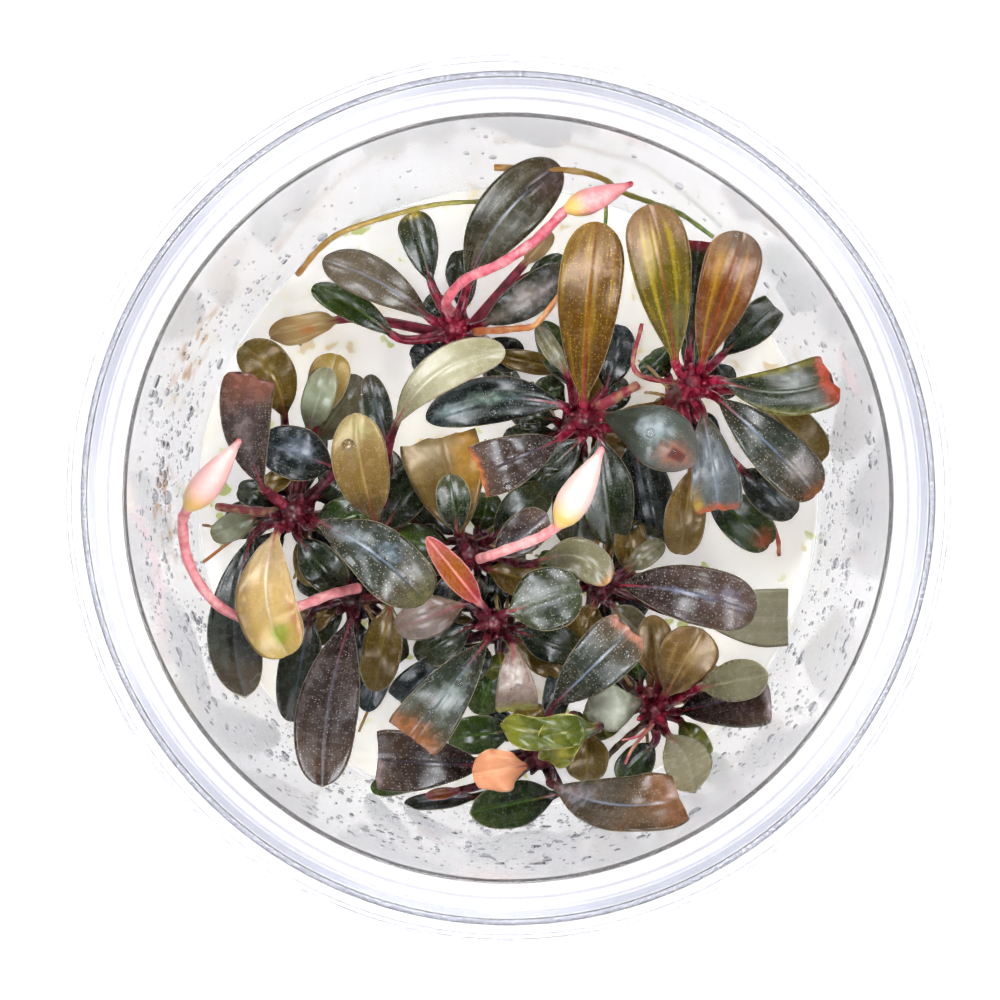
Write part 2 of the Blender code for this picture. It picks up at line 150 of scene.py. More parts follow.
STEMS = (
    Stem("rhizome_north_west", ((-3.0, 17.5, 12.4), (-5.2, 19.2, 17.0), (-6.3, 20.1, 24.0)), 1.5, 1.0, 9, 5),
    Stem("rhizome_north", ((6.0, 7.0, 12.4), (8.0, 8.6, 19.0), (8.9, 9.5, 27.5)), 1.5, 0.8, 8),
    Stem("rhizome_north_east", ((18.0, 10.0, 12.4), (20.6, 12.4, 21.0), (21.5, 13.7, 31.0)), 1.6, 1.0, 12, 5),
    Stem("rhizome_mid_west", ((-12.0, -0.5, 12.4), (-14.6, -4.4, 17.5), (-15.1, -5.4, 25.0)), 1.3),
    Stem("rhizome_west", ((-22.0, -3.5, 12.4), (-25.0, -2.2, 19.0), (-25.5, -1.6, 28.0)), 1.6, 0.4, 8),
    Stem("rhizome_south_west", ((-15.5, -9.5, 12.4), (-18.0, -11.4, 17.0), (-18.6, -12.0, 24.0)), 1.4),
    Stem("rhizome_centre", ((-2.0, -4.5, 12.4), (-4.2, -6.0, 18.0), (-4.7, -6.4, 26.0)), 1.4),
    Stem("rhizome_centre_south", ((0.5, -17.5, 12.4), (-1.2, -15.4, 19.0), (-1.8, -14.6, 28.0)), 1.4),
    Stem("rhizome_east", ((9.0, -8.0, 12.4), (10.6, -10.0, 19.0), (11.1, -10.8, 27.0)), 1.4),
    Stem("rhizome_south_east", ((14.0, -22.0, 12.4), (16.6, -24.6, 18.0), (17.3, -25.4, 25.5)), 1.6, 0.7, 9),
    Stem("rhizome_south", ((5.0, -29.0, 12.4), (4.2, -30.2, 17.0), (3.8, -30.9, 25.0)), 1.4),
)

# In the leaves' patches, the pale grey and bluish ones are painted highlights; the rest are the leaves' own
# colours
LEAVES = (
    Leaf("leaf_nw_west", "north_west", 0.85, (-9.4, 21.3), (-21.9, 28.1), 5.6, (24, 27, 25), "sage_brown",
         bow=-0.9, belly=0.64, cup=-0.2),
    Leaf("leaf_nw_small", "north_west", 1.0, (-9.1, 25.5), (-11.3, 33.6), 4.8, (25, 27, 28), "black_green",
         belly=0.74, torn=0.5, patches_and_painted_highlights=((1, 0, 0.08, 1.2, "#c0a838", 0.9),)),
    # Its pale grey patch in the middle is a painted highlight.
    Leaf("leaf_nw_north", "north_west", 0.95, (-4.7, 25.2), (6.3, 39.0), 7.8, (26, 33, 35), "streaked",
         bow=1.7, belly=0.62,
         patches_and_painted_highlights=((0.45, -0.2, 0.3, 0.5, "#78786a", 0.5), (0.92, -0.3, 0.2, 0.9, "#5c4644", 0.7))),
    # Its pale grey patches over the middle and the base are painted highlights.
    Leaf("leaf_nw_east", "north_west", 0.8, (-2.8, 20.6), (6.8, 27.2), 5.0, (24, 27, 25), "slate", bow=-0.4,
         belly=0.55, patches_and_painted_highlights=((0.5, 0, 0.32, 0.7, "#aca4a0", 0.9), (0.15, 0, 0.2, 0.8, "#807a6c", 0.8))),
    # Its pale pinkish band across the blade near the tip is a painted highlight.
    Leaf("leaf_north_ochre", "north", 1.0, (8.9, 11.6), (10.6, 32.6), 7.8, (31, 40, 44), "ochre", bow=0.3,
         belly=0.66, blunt=3.0, patches_and_painted_highlights=((0.74, 0, 0.06, 1, "#a88a78", 0.5),)),
    # Its two pale bluish-grey patches are painted highlights.
    Leaf("leaf_north_blue", "north", 0.9, (6.2, 11.0), (-9.7, 9.3), 6.1, (28, 30, 27), "black_blue",
         bow=-1.5, belly=0.5, cup=-0.25,
         patches_and_painted_highlights=((0.55, -0.1, 0.2, 0.35, "#74887c", 0.7), (0.82, 0.1, 0.12, 0.4, "#8ca0a4", 0.8))),
    Leaf("leaf_north_fold", "north", 0.85, (5.9, 6.9), (-3.3, 3.1), 7.0, (28, 33, 31), "purple", bow=0.2,
         belly=0.62, cut=0.74, torn=0.4, patches_and_painted_highlights=((1, 0, 0.06, 1.4, "#c0703c", 0.9),)),
    Leaf("leaf_north_south", "north", 0.75, (10.9, 6.9), (12.3, -5.5), 7.0, (25, 23, 20), "black_green"),
    # Its pale bluish-grey patch in the middle is a painted highlight.
    Leaf("leaf_north_gloss", "north", 0.95, (11.4, 9.7), (22.3, 4.3), 7.8, (30, 37, 33), "grey_gloss",
         bow=0.7, belly=0.6, cup=-0.35, blunt=3.0,
         patches_and_painted_highlights=((0.45, 0.15, 0.22, 0.5, "#8c989c", 0.8), (0.80, -0.25, 0.14, 0.36, "#5c1808", 1),
                (0.80, -0.25, 0.22, 0.55, "#94604c", 0.8), (0.12, -0.1, 0.26, 1.1, "#1c2410", 0.95))),
    Leaf("leaf_ne_olive", "north_east", 0.96, (19.7, 16.3), (16.5, 34.6), 7.6, (34, 42, 46), "olive_gold",
         bow=-0.3, belly=0.74, blunt=2.6,
         patches_and_painted_highlights=((0.22, -0.5, 0.2, 0.5, "#4c5232", 0.7), (0.97, 0, 0.14, 1.2, "#7c5a40", 0.8))),
    Leaf("leaf_ne_amber", "north_east", 0.9, (22.9, 16.0), (27.7, 31.4), 7.1, (33, 42, 45), "amber",
         belly=0.74, patches_and_painted_highlights=((0.97, 0, 0.16, 1.2, "#786a5e", 0.8),)),
    Leaf("leaf_ne_red", "north_east", 0.84, (21.5, 17.8), (22.9, 30.3), 5.2, (30, 34, 36), "black_green",
         belly=0.7, cut=0.85, patches_and_painted_highlights=((1, 0, 0.1, 1.4, "#a03444", 0.95),)),
    Leaf("leaf_ne_east", "north_east", 0.9, (25.5, 13.8), (38.2, 14.0), 6.8, (32, 36, 38), "black_green",
         bow=-1.3, belly=0.76, cut=0.88, cup=0.3, torn=0.8,
         patches_and_painted_highlights=((0.99, 0, 0.1, 1.4, "#b8482c", 0.95), (0.5, 0.95, 0.6, 0.25, "#7c7420", 0.8),
                (0.5, -0.95, 0.6, 0.25, "#6c6a1c", 0.7))),
    Leaf("leaf_ne_spotted", "north_east", 0.8, (24.8, 11.7), (36.4, 0.4), 6.7, (30, 34, 31),
         "slate_specked", bow=0.3, belly=0.68, blunt=3.0,
         patches_and_painted_highlights=((1, 0, 0.08, 1.4, "#94582c", 0.9), (0.78, 0.1, 0.13, 0.5, "#a09490", 0.7))),
    # Its pale bluish-grey patch in the middle is a painted highlight.
    Leaf("leaf_ne_south", "north_east", 0.7, (23.0, 10.0), (24.8, -1.3), 6.4, (27, 29, 25), "blue_grey",
         bow=0.2, belly=0.7, cut=0.84, torn=0.5,
         patches_and_painted_highlights=((0.5, 0, 0.35, 0.6, "#8c949c", 0.6), (1, 0, 0.07, 1.4, "#cc6430", 1),
                (0.9, -0.8, 0.15, 0.3, "#c8a03c", 0.8))),
    Leaf("leaf_west_torn", "west", 1.0, (-28.9, 1.4), (-30.4, 14.4), 6.6, (31, 38, 43), "purple", bow=1.2,
         belly=0.64, cut=0.76, torn=1.2,
         patches_and_painted_highlights=((1, 0, 0.28, 1.6, "#744636", 0.85), (0.5, 0.1, 0.25, 0.5, "#80706c", 0.6))),
    Leaf("leaf_west_khaki", "west", 0.95, (-27.3, -4.2), (-26.0, -18.6), 7.8, (31, 35, 33), "khaki",
         bow=-1.9, belly=0.66, blunt=2.6, wave=0.04,
         patches_and_painted_highlights=((0.82, 0.15, 0.09, 0.32, "#7c8c08", 1), (0.72, 0.8, 0.25, 0.25, "#9c5838", 0.6),
                (0.55, -0.85, 0.35, 0.35, "#7c6038", 0.8))),
    Leaf("leaf_west_slate", "west", 0.8, (-30.2, -4.7), (-31.0, -23.4), 6.8, (22, 26, 37), "slate",
         bow=-1.7, belly=0.68, blunt=2.6),
    # Its two pale bluish patches are painted highlights.
    Leaf("leaf_west_blue", "west", 0.9, (-22.4, -2.8), (-9.6, -12.2), 7.8, (30, 36, 33), "slate_specked",
         bow=0.9, belly=0.66, blunt=2.6, wave=0.06,
         patches_and_painted_highlights=((0.25, 0.1, 0.22, 0.6, "#848f94", 0.6), (0.55, 0.35, 0.15, 0.3, "#7c8c9c", 0.5),
                (0.97, 0, 0.18, 1.4, "#57552a", 0.7))),
    # Its pale bluish patch is a painted highlight.
    Leaf("leaf_wu_inner", "west", 0.7, (-20.8, 3.8), (-29.0, 6.6), 6.8, (26, 29, 27), "black_blue",
         belly=0.5, patches_and_painted_highlights=((0.5, -0.2, 0.25, 0.5, "#808c9c", 0.7),)),
    Leaf("leaf_wu_olive", "west", 0.5, (-26.4, 9.6), (-31.4, 18.0), 6.1, (23, 29, 27), "olive", bow=-1.3,
         belly=0.6),
    Leaf("leaf_mid_khaki", "mid_west", 0.95, (-15.6, -2.6), (-17.8, 10.0), 7.1, (28, 34, 37), "olive_brown",
         bow=0.6, belly=0.52, patches_and_painted_highlights=((0.88, 0, 0.16, 1, "#8c8a58", 0.6),)),
    Leaf("leaf_mid_grey", "mid_west", 0.6, (-13.2, 8.7), (-0.3, 17.2), 5.3, (28, 33, 34), "sage_light",
         bow=2.3, belly=0.62),
    Leaf("leaf_sw_long", "south_west", 0.95, (-18.6, -14.6), (-21.9, -34.0), 7.8, (25, 32, 38), "purple",
         bow=-0.9, belly=0.6, blunt=2.6),
    Leaf("leaf_sw_olive", "south_west", 0.7, (-13.9, -12.6), (-15.8, -22.8), 5.2, (21, 22, 19), "olive"),
    Leaf("leaf_c_brown", "centre", 0.8, (-5.6, -4.2), (-8.2, 7.0), 10.2, (24, 26, 25), "olive_brown",
         belly=0.66, cut=0.78, torn=0.6,
         patches_and_painted_highlights=((0.75, -0.7, 0.45, 0.5, "#a87c2c", 0.9), (0.2, 0.1, 0.25, 1, "#20200c", 0.7))),
    Leaf("leaf_c_purple", "centre", 0.9, (-1.6, -6.9), (4.6, -1.9), 5.2, (27, 28, 29), "purple", belly=0.6),
    Leaf("leaf_c_ribbed", "centre", 0.5, (3.8, -7.5), (11.7, -10.2), 5.0, (27, 31, 31), "sage", bow=2.0,
         belly=0.6, patches_and_painted_highlights=((1, 0, 0.1, 1.4, "#b47c3c", 0.8),)),
    # Its pale band along the blade is a painted highlight.
    Leaf("leaf_cs_round", "centre_south", 1.0, (0.2, -13.4), (8.6, -10.6), 7.9, (30, 32, 33),
         "green_specked", belly=0.5, blunt=3.0, patches_and_painted_highlights=((0.55, 0.2, 0.4, 0.18, "#8c9078", 0.35),)),
    Leaf("leaf_cs_new", "centre_south", 1.0, (-3.2, -12.6), (-9.6, -4.6), 3.4, (30, 33, 35), "new",
         belly=0.5, cup=0.7, blunt=1.6),
    # Its pale grey patch in the middle is a painted highlight.
    Leaf("leaf_cs_large", "centre_south", 0.9, (-2.6, -17.0), (-11.3, -28.3), 7.4, (29, 36, 37), "slate",
         belly=0.8, cut=0.88, torn=0.4,
         patches_and_painted_highlights=((0.5, 0.2, 0.3, 0.5, "#86928e", 0.6), (1, 0, 0.16, 1.4, "#8c5428", 0.9))),
    Leaf("leaf_cs_lilac", "centre_south", 0.85, (0.6, -17.4), (1.1, -24.9), 5.4, (28, 31, 28), "lilac",
         belly=0.8, cut=0.88, torn=0.8,
         patches_and_painted_highlights=((0.5, 0, 0.35, 0.7, "#b4aca4", 0.7), (1, 0, 0.13, 1.4, "#b4b040", 0.95))),
    Leaf("leaf_e_spotted", "east", 1.0, (13.4, -10.3), (29.1, -13.7), 7.5, (29, 37, 36), "purple", bow=0.8,
         belly=0.64, blunt=2.6,
         patches_and_painted_highlights=((0.8, 0.2, 0.2, 0.5, "#74748c", 0.4), (0.5, 0.0, 0.3, 0.12, "#6c7488", 0.8))),
    Leaf("leaf_e_pale", "east", 0.4, (22.7, -14.1), (33.0, -14.1), 7.6, (20, 21, 21), "sage_light",
         belly=0.62, cut=0.76, blunt=3.0),
    Leaf("leaf_se_khaki", "south_east", 0.95, (18.6, -23.2), (23.0, -15.5), 7.1, (27, 31, 33),
         "khaki_brown", belly=0.66),
    Leaf("leaf_se_sage", "south_east", 0.85, (22.9, -22.4), (30.7, -20.8), 5.2, (31, 39, 43), "sage",
         belly=0.55),
    Leaf("leaf_se_cut", "south_east", 0.6, (20.3, -25.2), (30.7, -22.7), 8.2, (21.5, 29, 39), "purple",
         belly=0.8, cut=0.88, torn=0.3, patches_and_painted_highlights=((1, 0, 0.05, 1.4, "#c4b4b8", 0.9),)),
    Leaf("leaf_se_south", "south_east", 0.8, (18.9, -28.0), (21.9, -34.6), 6.1, (24, 33, 41), "sage_light",
         bow=0.8, belly=0.6),
    # Its pale middle is a painted highlight.
    Leaf("leaf_se_shine", "south_east", 0.75, (15.6, -24.2), (9.0, -25.3), 6.3, (24, 27, 24), "pale",
         belly=0.5, cup=-0.3, patches_and_painted_highlights=((0.5, 0, 0.45, 0.9, "#d4dac8", 1),)),
    Leaf("leaf_s_blue", "south", 0.9, (5.4, -24.4), (14.4, -15.6), 7.3, (27, 33, 35), "slate_specked",
         belly=0.66, cut=0.9, torn=0.8, patches_and_painted_highlights=((1, 0, 0.07, 1.4, "#a8705c", 1),)),
    Leaf("leaf_s_cut", "south", 0.8, (-3.0, -31.6), (-15.3, -30.9), 7.8, (26, 30, 30), "purple", belly=0.76,
         cut=0.86, torn=0.4, patches_and_painted_highlights=((1, 0.4, 0.06, 0.9, "#a89090", 0.8),)),
    Leaf("leaf_s_dead", "south", 1.0, (2.0, -31.6), (-4.2, -32.6), 5.2, (29, 33, 33), "dead", belly=0.5,
         blunt=3.0, wave=0.1),
    # Its pale grey patch at the base is a painted highlight.
    Leaf("leaf_s_large", "south", 0.85, (5.6, -34.0), (20.2, -35.4), 7.6, (34, 46, 47), "slate_brown",
         bow=-1.5, belly=0.6, cut=0.9, roll=-25, blunt=3.0,
         patches_and_painted_highlights=((0.15, 0, 0.2, 0.8, "#8c8c94", 0.7), (1, 0, 0.22, 1.4, "#84583a", 0.7))),
    Leaf("leaf_s_green", "south", 0.5, (5.6, -35.0), (-4.4, -37.2), 6.0, (21, 25, 29), "green"),
)

SPATHES = (
    Spathe("spathe_north_west",
           ((-6.7, 21.9, 26), (-7.2, 23.3, 30), (-5.0, 25.8, 34), (-1.0, 27.6, 37), (3.2, 30.4, 39),
            (6.8, 34.0, 41)), (14.8, 37.2, 43), 3.9, 0.1),
    Spathe("spathe_west",
           ((-17.6, -10.6, 25.5), (-21.0, -11.4, 29), (-25.0, -12.9, 29.5), (-30.0, -14.4, 31),
            (-34.5, -12.4, 33), (-37.6, -7.8, 33), (-38.4, -3.0, 36), (-37.8, -1.2, 38)), (-31.6, 6.9, 44),
           4.6, 0.6),
    Spathe("spathe_centre", ((-3.4, -7.2, 28.5), (-1.0, -6.4, 32), (3.6, -4.7, 36), (6.0, -3.2, 38)),
           (11.2, 6.0, 43), 5.0, 0.9),
)

# Share along a spathe, share of its width
SPATHE_OUTLINE = ((0.0, 0.36), (0.04, 0.50), (0.10, 0.74), (0.18, 0.92), (0.28, 1.0), (0.38, 0.98),
                  (0.50, 0.88), (0.62, 0.72), (0.74, 0.52), (0.84, 0.34), (0.90, 0.24), (0.94, 0.22),
                  (0.975, 0.20), (0.995, 0.10))

# Small leaves that have no solid of their own, each named for where it grows
SMALL_LEAVES = (
    Leaf("nw_curled", "north_west", 0.55, (-13.7, 19.3), (-23.2, 24.8), 3.8, (19.5, 21, 20), "green",
         bow=-0.5, belly=0.55),
    Leaf("nw_beige", "north_west", 0.4, (-20.2, 21.0), (-28.1, 19.2), 3.8, (18, 20, 18), "withered",
         cup=0.4, wave=0.12, torn=0.6, patches_and_painted_highlights=((0.45, 0.2, 0.1, 0.4, "#c87830", 0.9),)),
    Leaf("nw_tan", "north_west", 0.5, (1.9, 27.6), (5.2, 31.4), 2.6, (21, 22, 21), "withered"),
    Leaf("nw_green", "north_west", 0.5, (2.4, 26.2), (6.8, 28.3), 2.8, (19, 20, 19), "green"),
    Leaf("n_back", "north", 0.7, (8.1, 12.9), (3.9, 20.8), 4.4, (24, 22, 20), "green"),
    Leaf("n_olive", "north", 0.5, (6.8, 15.1), (-1.2, 16.8), 3.0, (21, 22, 20), "olive"),
    Leaf("n_sage", "north", 0.6, (6.8, 14.9), (3.4, 20.3), 2.4, (25, 26, 25), "sage"),
    Leaf("n_low_west", "north", 0.5, (8.6, 6.9), (0.5, -0.8), 5.8, (22, 20, 18), "black_green"),
    Leaf("n_low_south", "north", 0.4, (8.9, 5.6), (7.9, -6.0), 7.0, (20, 19, 17), "black_green"),
    Leaf("n_low_east", "north", 0.45, (14.8, 6.8), (17.3, -5.5), 7.3, (22, 21, 18), "black_blue", cup=-0.3,
         blunt=3.0),
    Leaf("n_blue", "north", 0.8, (11.6, 13.0), (13.4, 20.4), 5.0, (25, 27, 25), "black_blue"),
    Leaf("ne_back", "north_east", 0.7, (25.3, 16.9), (31.4, 22.7), 4.8, (28, 28, 27), "black_green",
         belly=0.6, cut=0.9),
    Leaf("ne_low_south", "north_east", 0.45, (21.7, 3.4), (20.3, -6.7), 5.4, (22, 23, 20), "olive_brown",
         belly=0.6),
    Leaf("ne_low_east", "north_east", 0.5, (29.4, 12.0), (37.4, 4.6), 5.9, (23, 24, 21), "olive"),
    Leaf("ne_grey", "north_east", 0.4, (27.6, 3.3), (33.9, -2.0), 5.4, (19, 20, 18), "slate"),
    Leaf("ne_cup", "north_east", 0.3, (23.9, 0.6), (30.9, -5.5), 5.9, (17, 18, 16), "green", cup=0.5,
         patches_and_painted_highlights=((0.9, 0, 0.15, 0.7, "#b05030", 0.8),)),
    Leaf("w_ochre", "west", 0.6, (-22.4, 9.8), (-20.3, 17.0), 5.3, (21, 24, 23), "khaki", belly=0.6),
    Leaf("w_pale", "west", 0.7, (-23.6, 8.0), (-21.2, 15.4), 4.2, (23, 27, 26), "pale"),
    Leaf("w_grey", "west", 0.4, (-22.6, 6.8), (-17.4, 14.4), 7.1, (19, 22, 20), "sage", cup=-0.25),
    Leaf("w_violet", "mid_west", 0.5, (-14.2, 6.0), (-16.4, 14.6), 3.6, (22, 25, 24), "slate"),
    Leaf("w_dark", "west", 0.75, (-24.6, -4.9), (-19.6, -11.0), 5.2, (26, 27, 24), "black_green"),
    Leaf("w_low", "west", 0.5, (-23.0, -3.4), (-16.0, -1.6), 5.4, (22, 22, 20), "green"),
    Leaf("w_outer", "west", 0.55, (-29.8, -2.2), (-35.0, -4.6), 3.6, (22, 23, 22), "pale"),
    Leaf("w_fold", "west", 0.85, (-25.2, 3.3), (-29.4, 0.8), 2.8, (27, 28, 27), "olive"),
    Leaf("mw_low", "mid_west", 0.5, (-14.6, -3.6), (-9.8, 4.0), 5.6, (20, 22, 20), "black_green"),
    Leaf("mw_low_south", "mid_west", 0.4, (-14.2, -7.2), (-9.6, -13.6), 4.8, (20, 20, 18), "olive"),
    Leaf("sw_low", "south_west", 0.6, (-23.4, -13.9), (-25.7, -26.4), 5.6, (19, 20, 19), "slate"),
    Leaf("sw_blue", "south_west", 0.5, (-14.2, -15.4), (-16.8, -25.2), 4.4, (18, 19, 17), "black_blue"),
    Leaf("c_front", "centre", 1.0, (-6.0, -4.0), (-6.8, 2.8), 4.4, (28, 31, 32), "black_green", belly=0.6),
    Leaf("c_low_west", "centre", 0.5, (-7.0, -6.8), (-13.0, -4.2), 4.6, (20, 21, 19), "green"),
    Leaf("c_low_east", "centre", 0.6, (-1.6, -4.4), (4.6, 1.4), 5.4, (22, 22, 19), "black_green"),
    Leaf("c_low_south", "centre", 0.4, (-2.2, -8.4), (4.8, -10.4), 5.0, (20, 21, 19), "olive"),
    Leaf("cs_violet", "centre_south", 0.7, (-5.4, -12.6), (-13.5, -15.6), 5.4, (24, 25, 22), "lilac",
         cup=-0.3),
    Leaf("cs_fold", "centre_south", 0.55, (-4.6, -15.2), (-10.8, -19.0), 4.9, (22, 22, 19), "black_green"),
    Leaf("cs_triangle", "centre_south", 0.45, (-6.0, -17.4), (-12.8, -24.0), 4.9, (19, 20, 17),
         "black_blue", belly=0.7, cut=0.9),
    Leaf("cs_low_east", "centre_south", 0.5, (1.4, -15.8), (8.4, -18.2), 5.2, (21, 21, 19), "black_green"),
    Leaf("cs_low_south", "centre_south", 0.35, (-1.0, -18.4), (-3.4, -25.6), 5.4, (18, 19, 17), "green"),
    Leaf("e_olive", "east", 0.5, (14.6, -8.8), (14.4, -2.4), 4.4, (20, 21, 19), "olive"),
    Leaf("e_sage", "east", 0.7, (14.0, -8.4), (18.4, -5.2), 3.0, (23, 24, 22), "sage"),
    Leaf("e_low_south", "east", 0.5, (10.2, -12.6), (8.0, -17.6), 5.2, (20, 20, 18), "olive"),
    Leaf("e_low_grey", "east", 0.45, (12.4, -12.8), (16.2, -16.6), 4.2, (20, 20, 18), "sage"),
    Leaf("se_brown", "south_east", 0.85, (17.8, -21.6), (17.0, -13.8), 4.9, (25, 28, 29), "khaki_brown"),
    Leaf("se_gold", "south_east", 0.6, (20.4, -26.4), (23.6, -30.9), 3.6, (21, 23, 21), "yellow_green"),
    Leaf("se_green", "south_east", 0.5, (17.2, -29.0), (13.2, -33.4), 4.6, (20, 20, 19), "green"),
    Leaf("s_curled", "south", 0.95, (10.4, -27.0), (-0.6, -26.6), 4.6, (30, 33, 31), "yellow_green",
         bow=0.9, belly=0.45, cup=0.35, wave=0.16, torn=0.9, patches_and_painted_highlights=((0.15, 0, 0.2, 1.0, "#4c5c10", 0.7),)),
    Leaf("s_curled_lobe", "south", 0.9, (7.6, -26.0), (5.0, -31.2), 5.4, (31, 32.5, 29.5), "yellow_green",
         cup=0.3, wave=0.14, torn=0.9, patches_and_painted_highlights=((0.7, 0.3, 0.2, 0.5, "#b4b040", 0.8),)),
    Leaf("s_olive", "south", 0.6, (9.2, -27.6), (9.4, -33.4), 5.6, (24, 25, 23), "olive"),
    Leaf("s_back", "south", 0.6, (0.5, -27.4), (-7.1, -28.4), 5.0, (22, 24, 22), "green"),
    Leaf("s_under_cut", "south", 0.3, (-8.4, -32.2), (-16.2, -34.4), 3.4, (23, 23, 21), "green"),
    Leaf("s_strip", "south", 0.4, (-3.6, -35.2), (-12.3, -36.1), 2.4, (21, 22, 20), "slate"),
    Leaf("s_pink", "south", 0.35, (-5.6, -34.5), (-9.8, -35.2), 1.6, (24, 24, 23), "new"),
)

# Loose roots, grass-like blades and stalks: points of the plan with heights, radius, colours at both ends
THREADS = (
    ("wall_blade_west",
     ((-24.8, 26.4, 22), (-22.3, 29.4, 26), (-19.3, 31.5, 29), (-12.8, 33.6, 31), (-8.0, 34.7, 31),
      (-3.0, 35.0, 30)), 0.42, "#b87c30", "#8c9440"),
    ("wall_blade_north",
     ((-1.6, 39.0, 34), (6.8, 38.7, 35), (10.9, 37.8, 35), (13.5, 36.1, 34), (16.8, 34.9, 33),
      (20.4, 33.5, 32), (24.2, 30.8, 30)), 0.42, "#b87c30", "#5c8c28"),
    ("north_stalk", ((8.9, 9.5, 27), (11.0, 24.0, 30), (11.6, 34.6, 33)), 0.35, "#4c6c20", "#74902c"),
    ("orange_stalk", ((-4.0, 19.6, 24), (1.0, 20.0, 27), (3.4, 20.6, 29), (6.4, 24.4, 30)), 0.5, "#c06430",
     "#d88c50"),
    ("west_branch", ((-25.7, -1.8, 27), (-29.4, -1.6, 27), (-34.4, -1.0, 25)), 0.75, "#5c0e20", "#7c1c28"),
    ("west_root_high", ((-26.4, -3.0, 22), (-31.0, -4.0, 19), (-36.0, -7.6, 15)), 0.34, "#8c4420",
     "#c87c3c"),
    ("west_root_low", ((-27.0, -2.0, 20), (-33.0, -3.4, 17), (-36.0, -3.2, 14)), 0.30, "#6c3818",
     "#946030"),
    ("ne_red_tip", ((27.0, 4.0, 19), (31.4, -3.6, 17), (32.0, -6.8, 15)), 0.40, "#a03830", "#c05040"),
    ("ne_red_stalk", ((20.6, 13.4, 28), (15.0, 15.0, 30), (15.8, 20.6, 31)), 0.40, "#8c1c30", "#a83444"),
    ("se_stalk", ((16.8, -26.0, 20), (12.6, -29.6, 18), (10.4, -32.4, 16)), 0.50, "#4c2014", "#34240e"),
    ("se_pink_thread", ((17.2, -26.6, 26), (14.8, -29.4, 27), (13.8, -31.4, 27)), 0.26, "#b04450",
     "#c86470"),
    ("se_pink_thread_west", ((17.0, -26.2, 26), (15.6, -28.0, 28), (13.4, -28.6, 28)), 0.22, "#a83c4c",
     "#c05864"),
    ("north_branch", ((8.9, 9.7, 26), (12.6, 11.8, 27), (15.4, 13.4, 28)), 0.80, "#8c1830", "#a02440"),
    ("sw_sprig", ((-17.0, -12.0, 20), (-14.4, -19.0, 18), (-17.6, -27.6, 16)), 0.28, "#9c6c34", "#b48c50"),
)

# Drops of water on the leaves: where they are seen on the plane of the rim, and their radius
DROPS = (
    (-2.5, 12.3, 0.55), (-1.8, 10.1, 0.55), (0.4, 15.0, 0.40), (2.9, 13.3, 0.55), (0.5, 11.3, 0.50),
    (0.4, 7.6, 0.90), (2.6, 6.0, 0.50), (5.3, 6.8, 0.35), (0.0, 1.4, 0.60), (18.2, 18.1, 0.60),
    (16.8, 7.7, 0.70), (24.0, 7.8, 0.45), (24.9, 6.8, 0.45), (25.5, 1.8, 0.60), (-18.6, -1.2, 0.50),
    (-17.5, -2.2, 0.50), (-18.9, 6.3, 0.80), (15.9, -9.4, 0.55), (-5.8, -21.8, 0.60), (-9.1, -21.2, 0.50),
    (-9.0, -25.2, 0.50), (-5.3, -17.9, 0.45), (1.3, -22.3, 0.45), (-0.2, -24.2, 0.40), (14.0, -18.5, 0.65),
    (27.0, 31.0, 0.45), (12.3, 9.4, 0.35), (13.1, 8.6, 0.35), (13.9, 9.6, 0.30), (14.4, 8.2, 0.30),
    (-25.7, 6.3, 0.40), (8.4, -9.7, 0.35), (19.6, 5.4, 0.35), (21.2, 5.0, 0.30), (-12.0, -9.6, 0.40),
)

FINE_LEAF_DROPS = 160
FINE_LEAF_DROP_RADII = (0.10, 0.24)
FINE_LEAF_DROP_REACH = 38.0
LEAST_LEVEL = 0.6  # how level a leaf must be under a drop, 1 for level
WALL_DROPS = 2300
WALL_DROP_RADII = (0.09, 0.10, 0.8)  # smallest, mean of what is added to it, largest
WALL_DROP_HEIGHTS = (GEL_TOP + 1, 52.0)
DROP_OUTLINE = ((1.0, 0.0), (0.85, 0.55), (0.45, 0.9))  # shares of a drop's radius and height

# Where the wall is damp, besides a trace everywhere: direction in degrees, spread, strength
DAMP_SIDES = ((190, 50, 1.0), (265, 45, 0.95), (345, 40, 0.9))
DAMP_TRACE = 0.05

# Young leaves: where they start and end from their rhizome, how far from the axis one may end, and the
# height and width of their blades
YOUNG_START = (2.2, 3.2)
YOUNG_END = (6.0, 10.5)
YOUNG_FARTHEST = 35.0
YOUNG_HEIGHT = (14.5, 19.0)
YOUNG_WIDTH = (3.4, 5.2)
YOUNG_LOOKS = ("black_green", "black_green", "black_green", "green", "olive", "black_blue", "black_blue",
               "olive_brown", "yellow_green")

# First and last radius of the small tubes
OLD_BASE_RADII = (0.85, 0.22)
ROOT_RADII = (0.28, 0.20)
ROOTS_PER_STEM = 6

# Share of its radius that a crown rises over its rhizome, share of its radius there
CROWN_OUTLINE = ((0.35, 0.78), (0.6, 0.45), (0.7, 0.12))

# Painted shade: thin darker rings on the rim where its bends show lines of refraction: radius, half width,
# colour
PAINTED_RIM_LINES = ((47.7, 0.25, "#d4d4de"), (49.3, 0.35, "#aeb2cc"), (52.4, 0.3, "#acacba"))

# Painted shade makes the wall greyer up to where the ledge begins, and its inner face is fogged to a small
# depth
WALL_SHADE_END = (45.6, 46.2)
FOG_DEPTH = (0.2, 0.4)
FOGGED_ROUGHNESS = 0.16
CLEAR_ROUGHNESS = 0.06

# Middles of the brown smears on the wall, and how far they are whole and how far they reach
SMEARS = ((-38.6, 17.6, 34.0), (-42.0, -1.5, 32.0))
SMEAR_REACH = (4.0, 10.0)

SPECKS_PER_MM = 2.5
# Painted light: the gel glows faintly, so that it stays nearly white where the leaves shade it
GEL_GLOW = 0.42


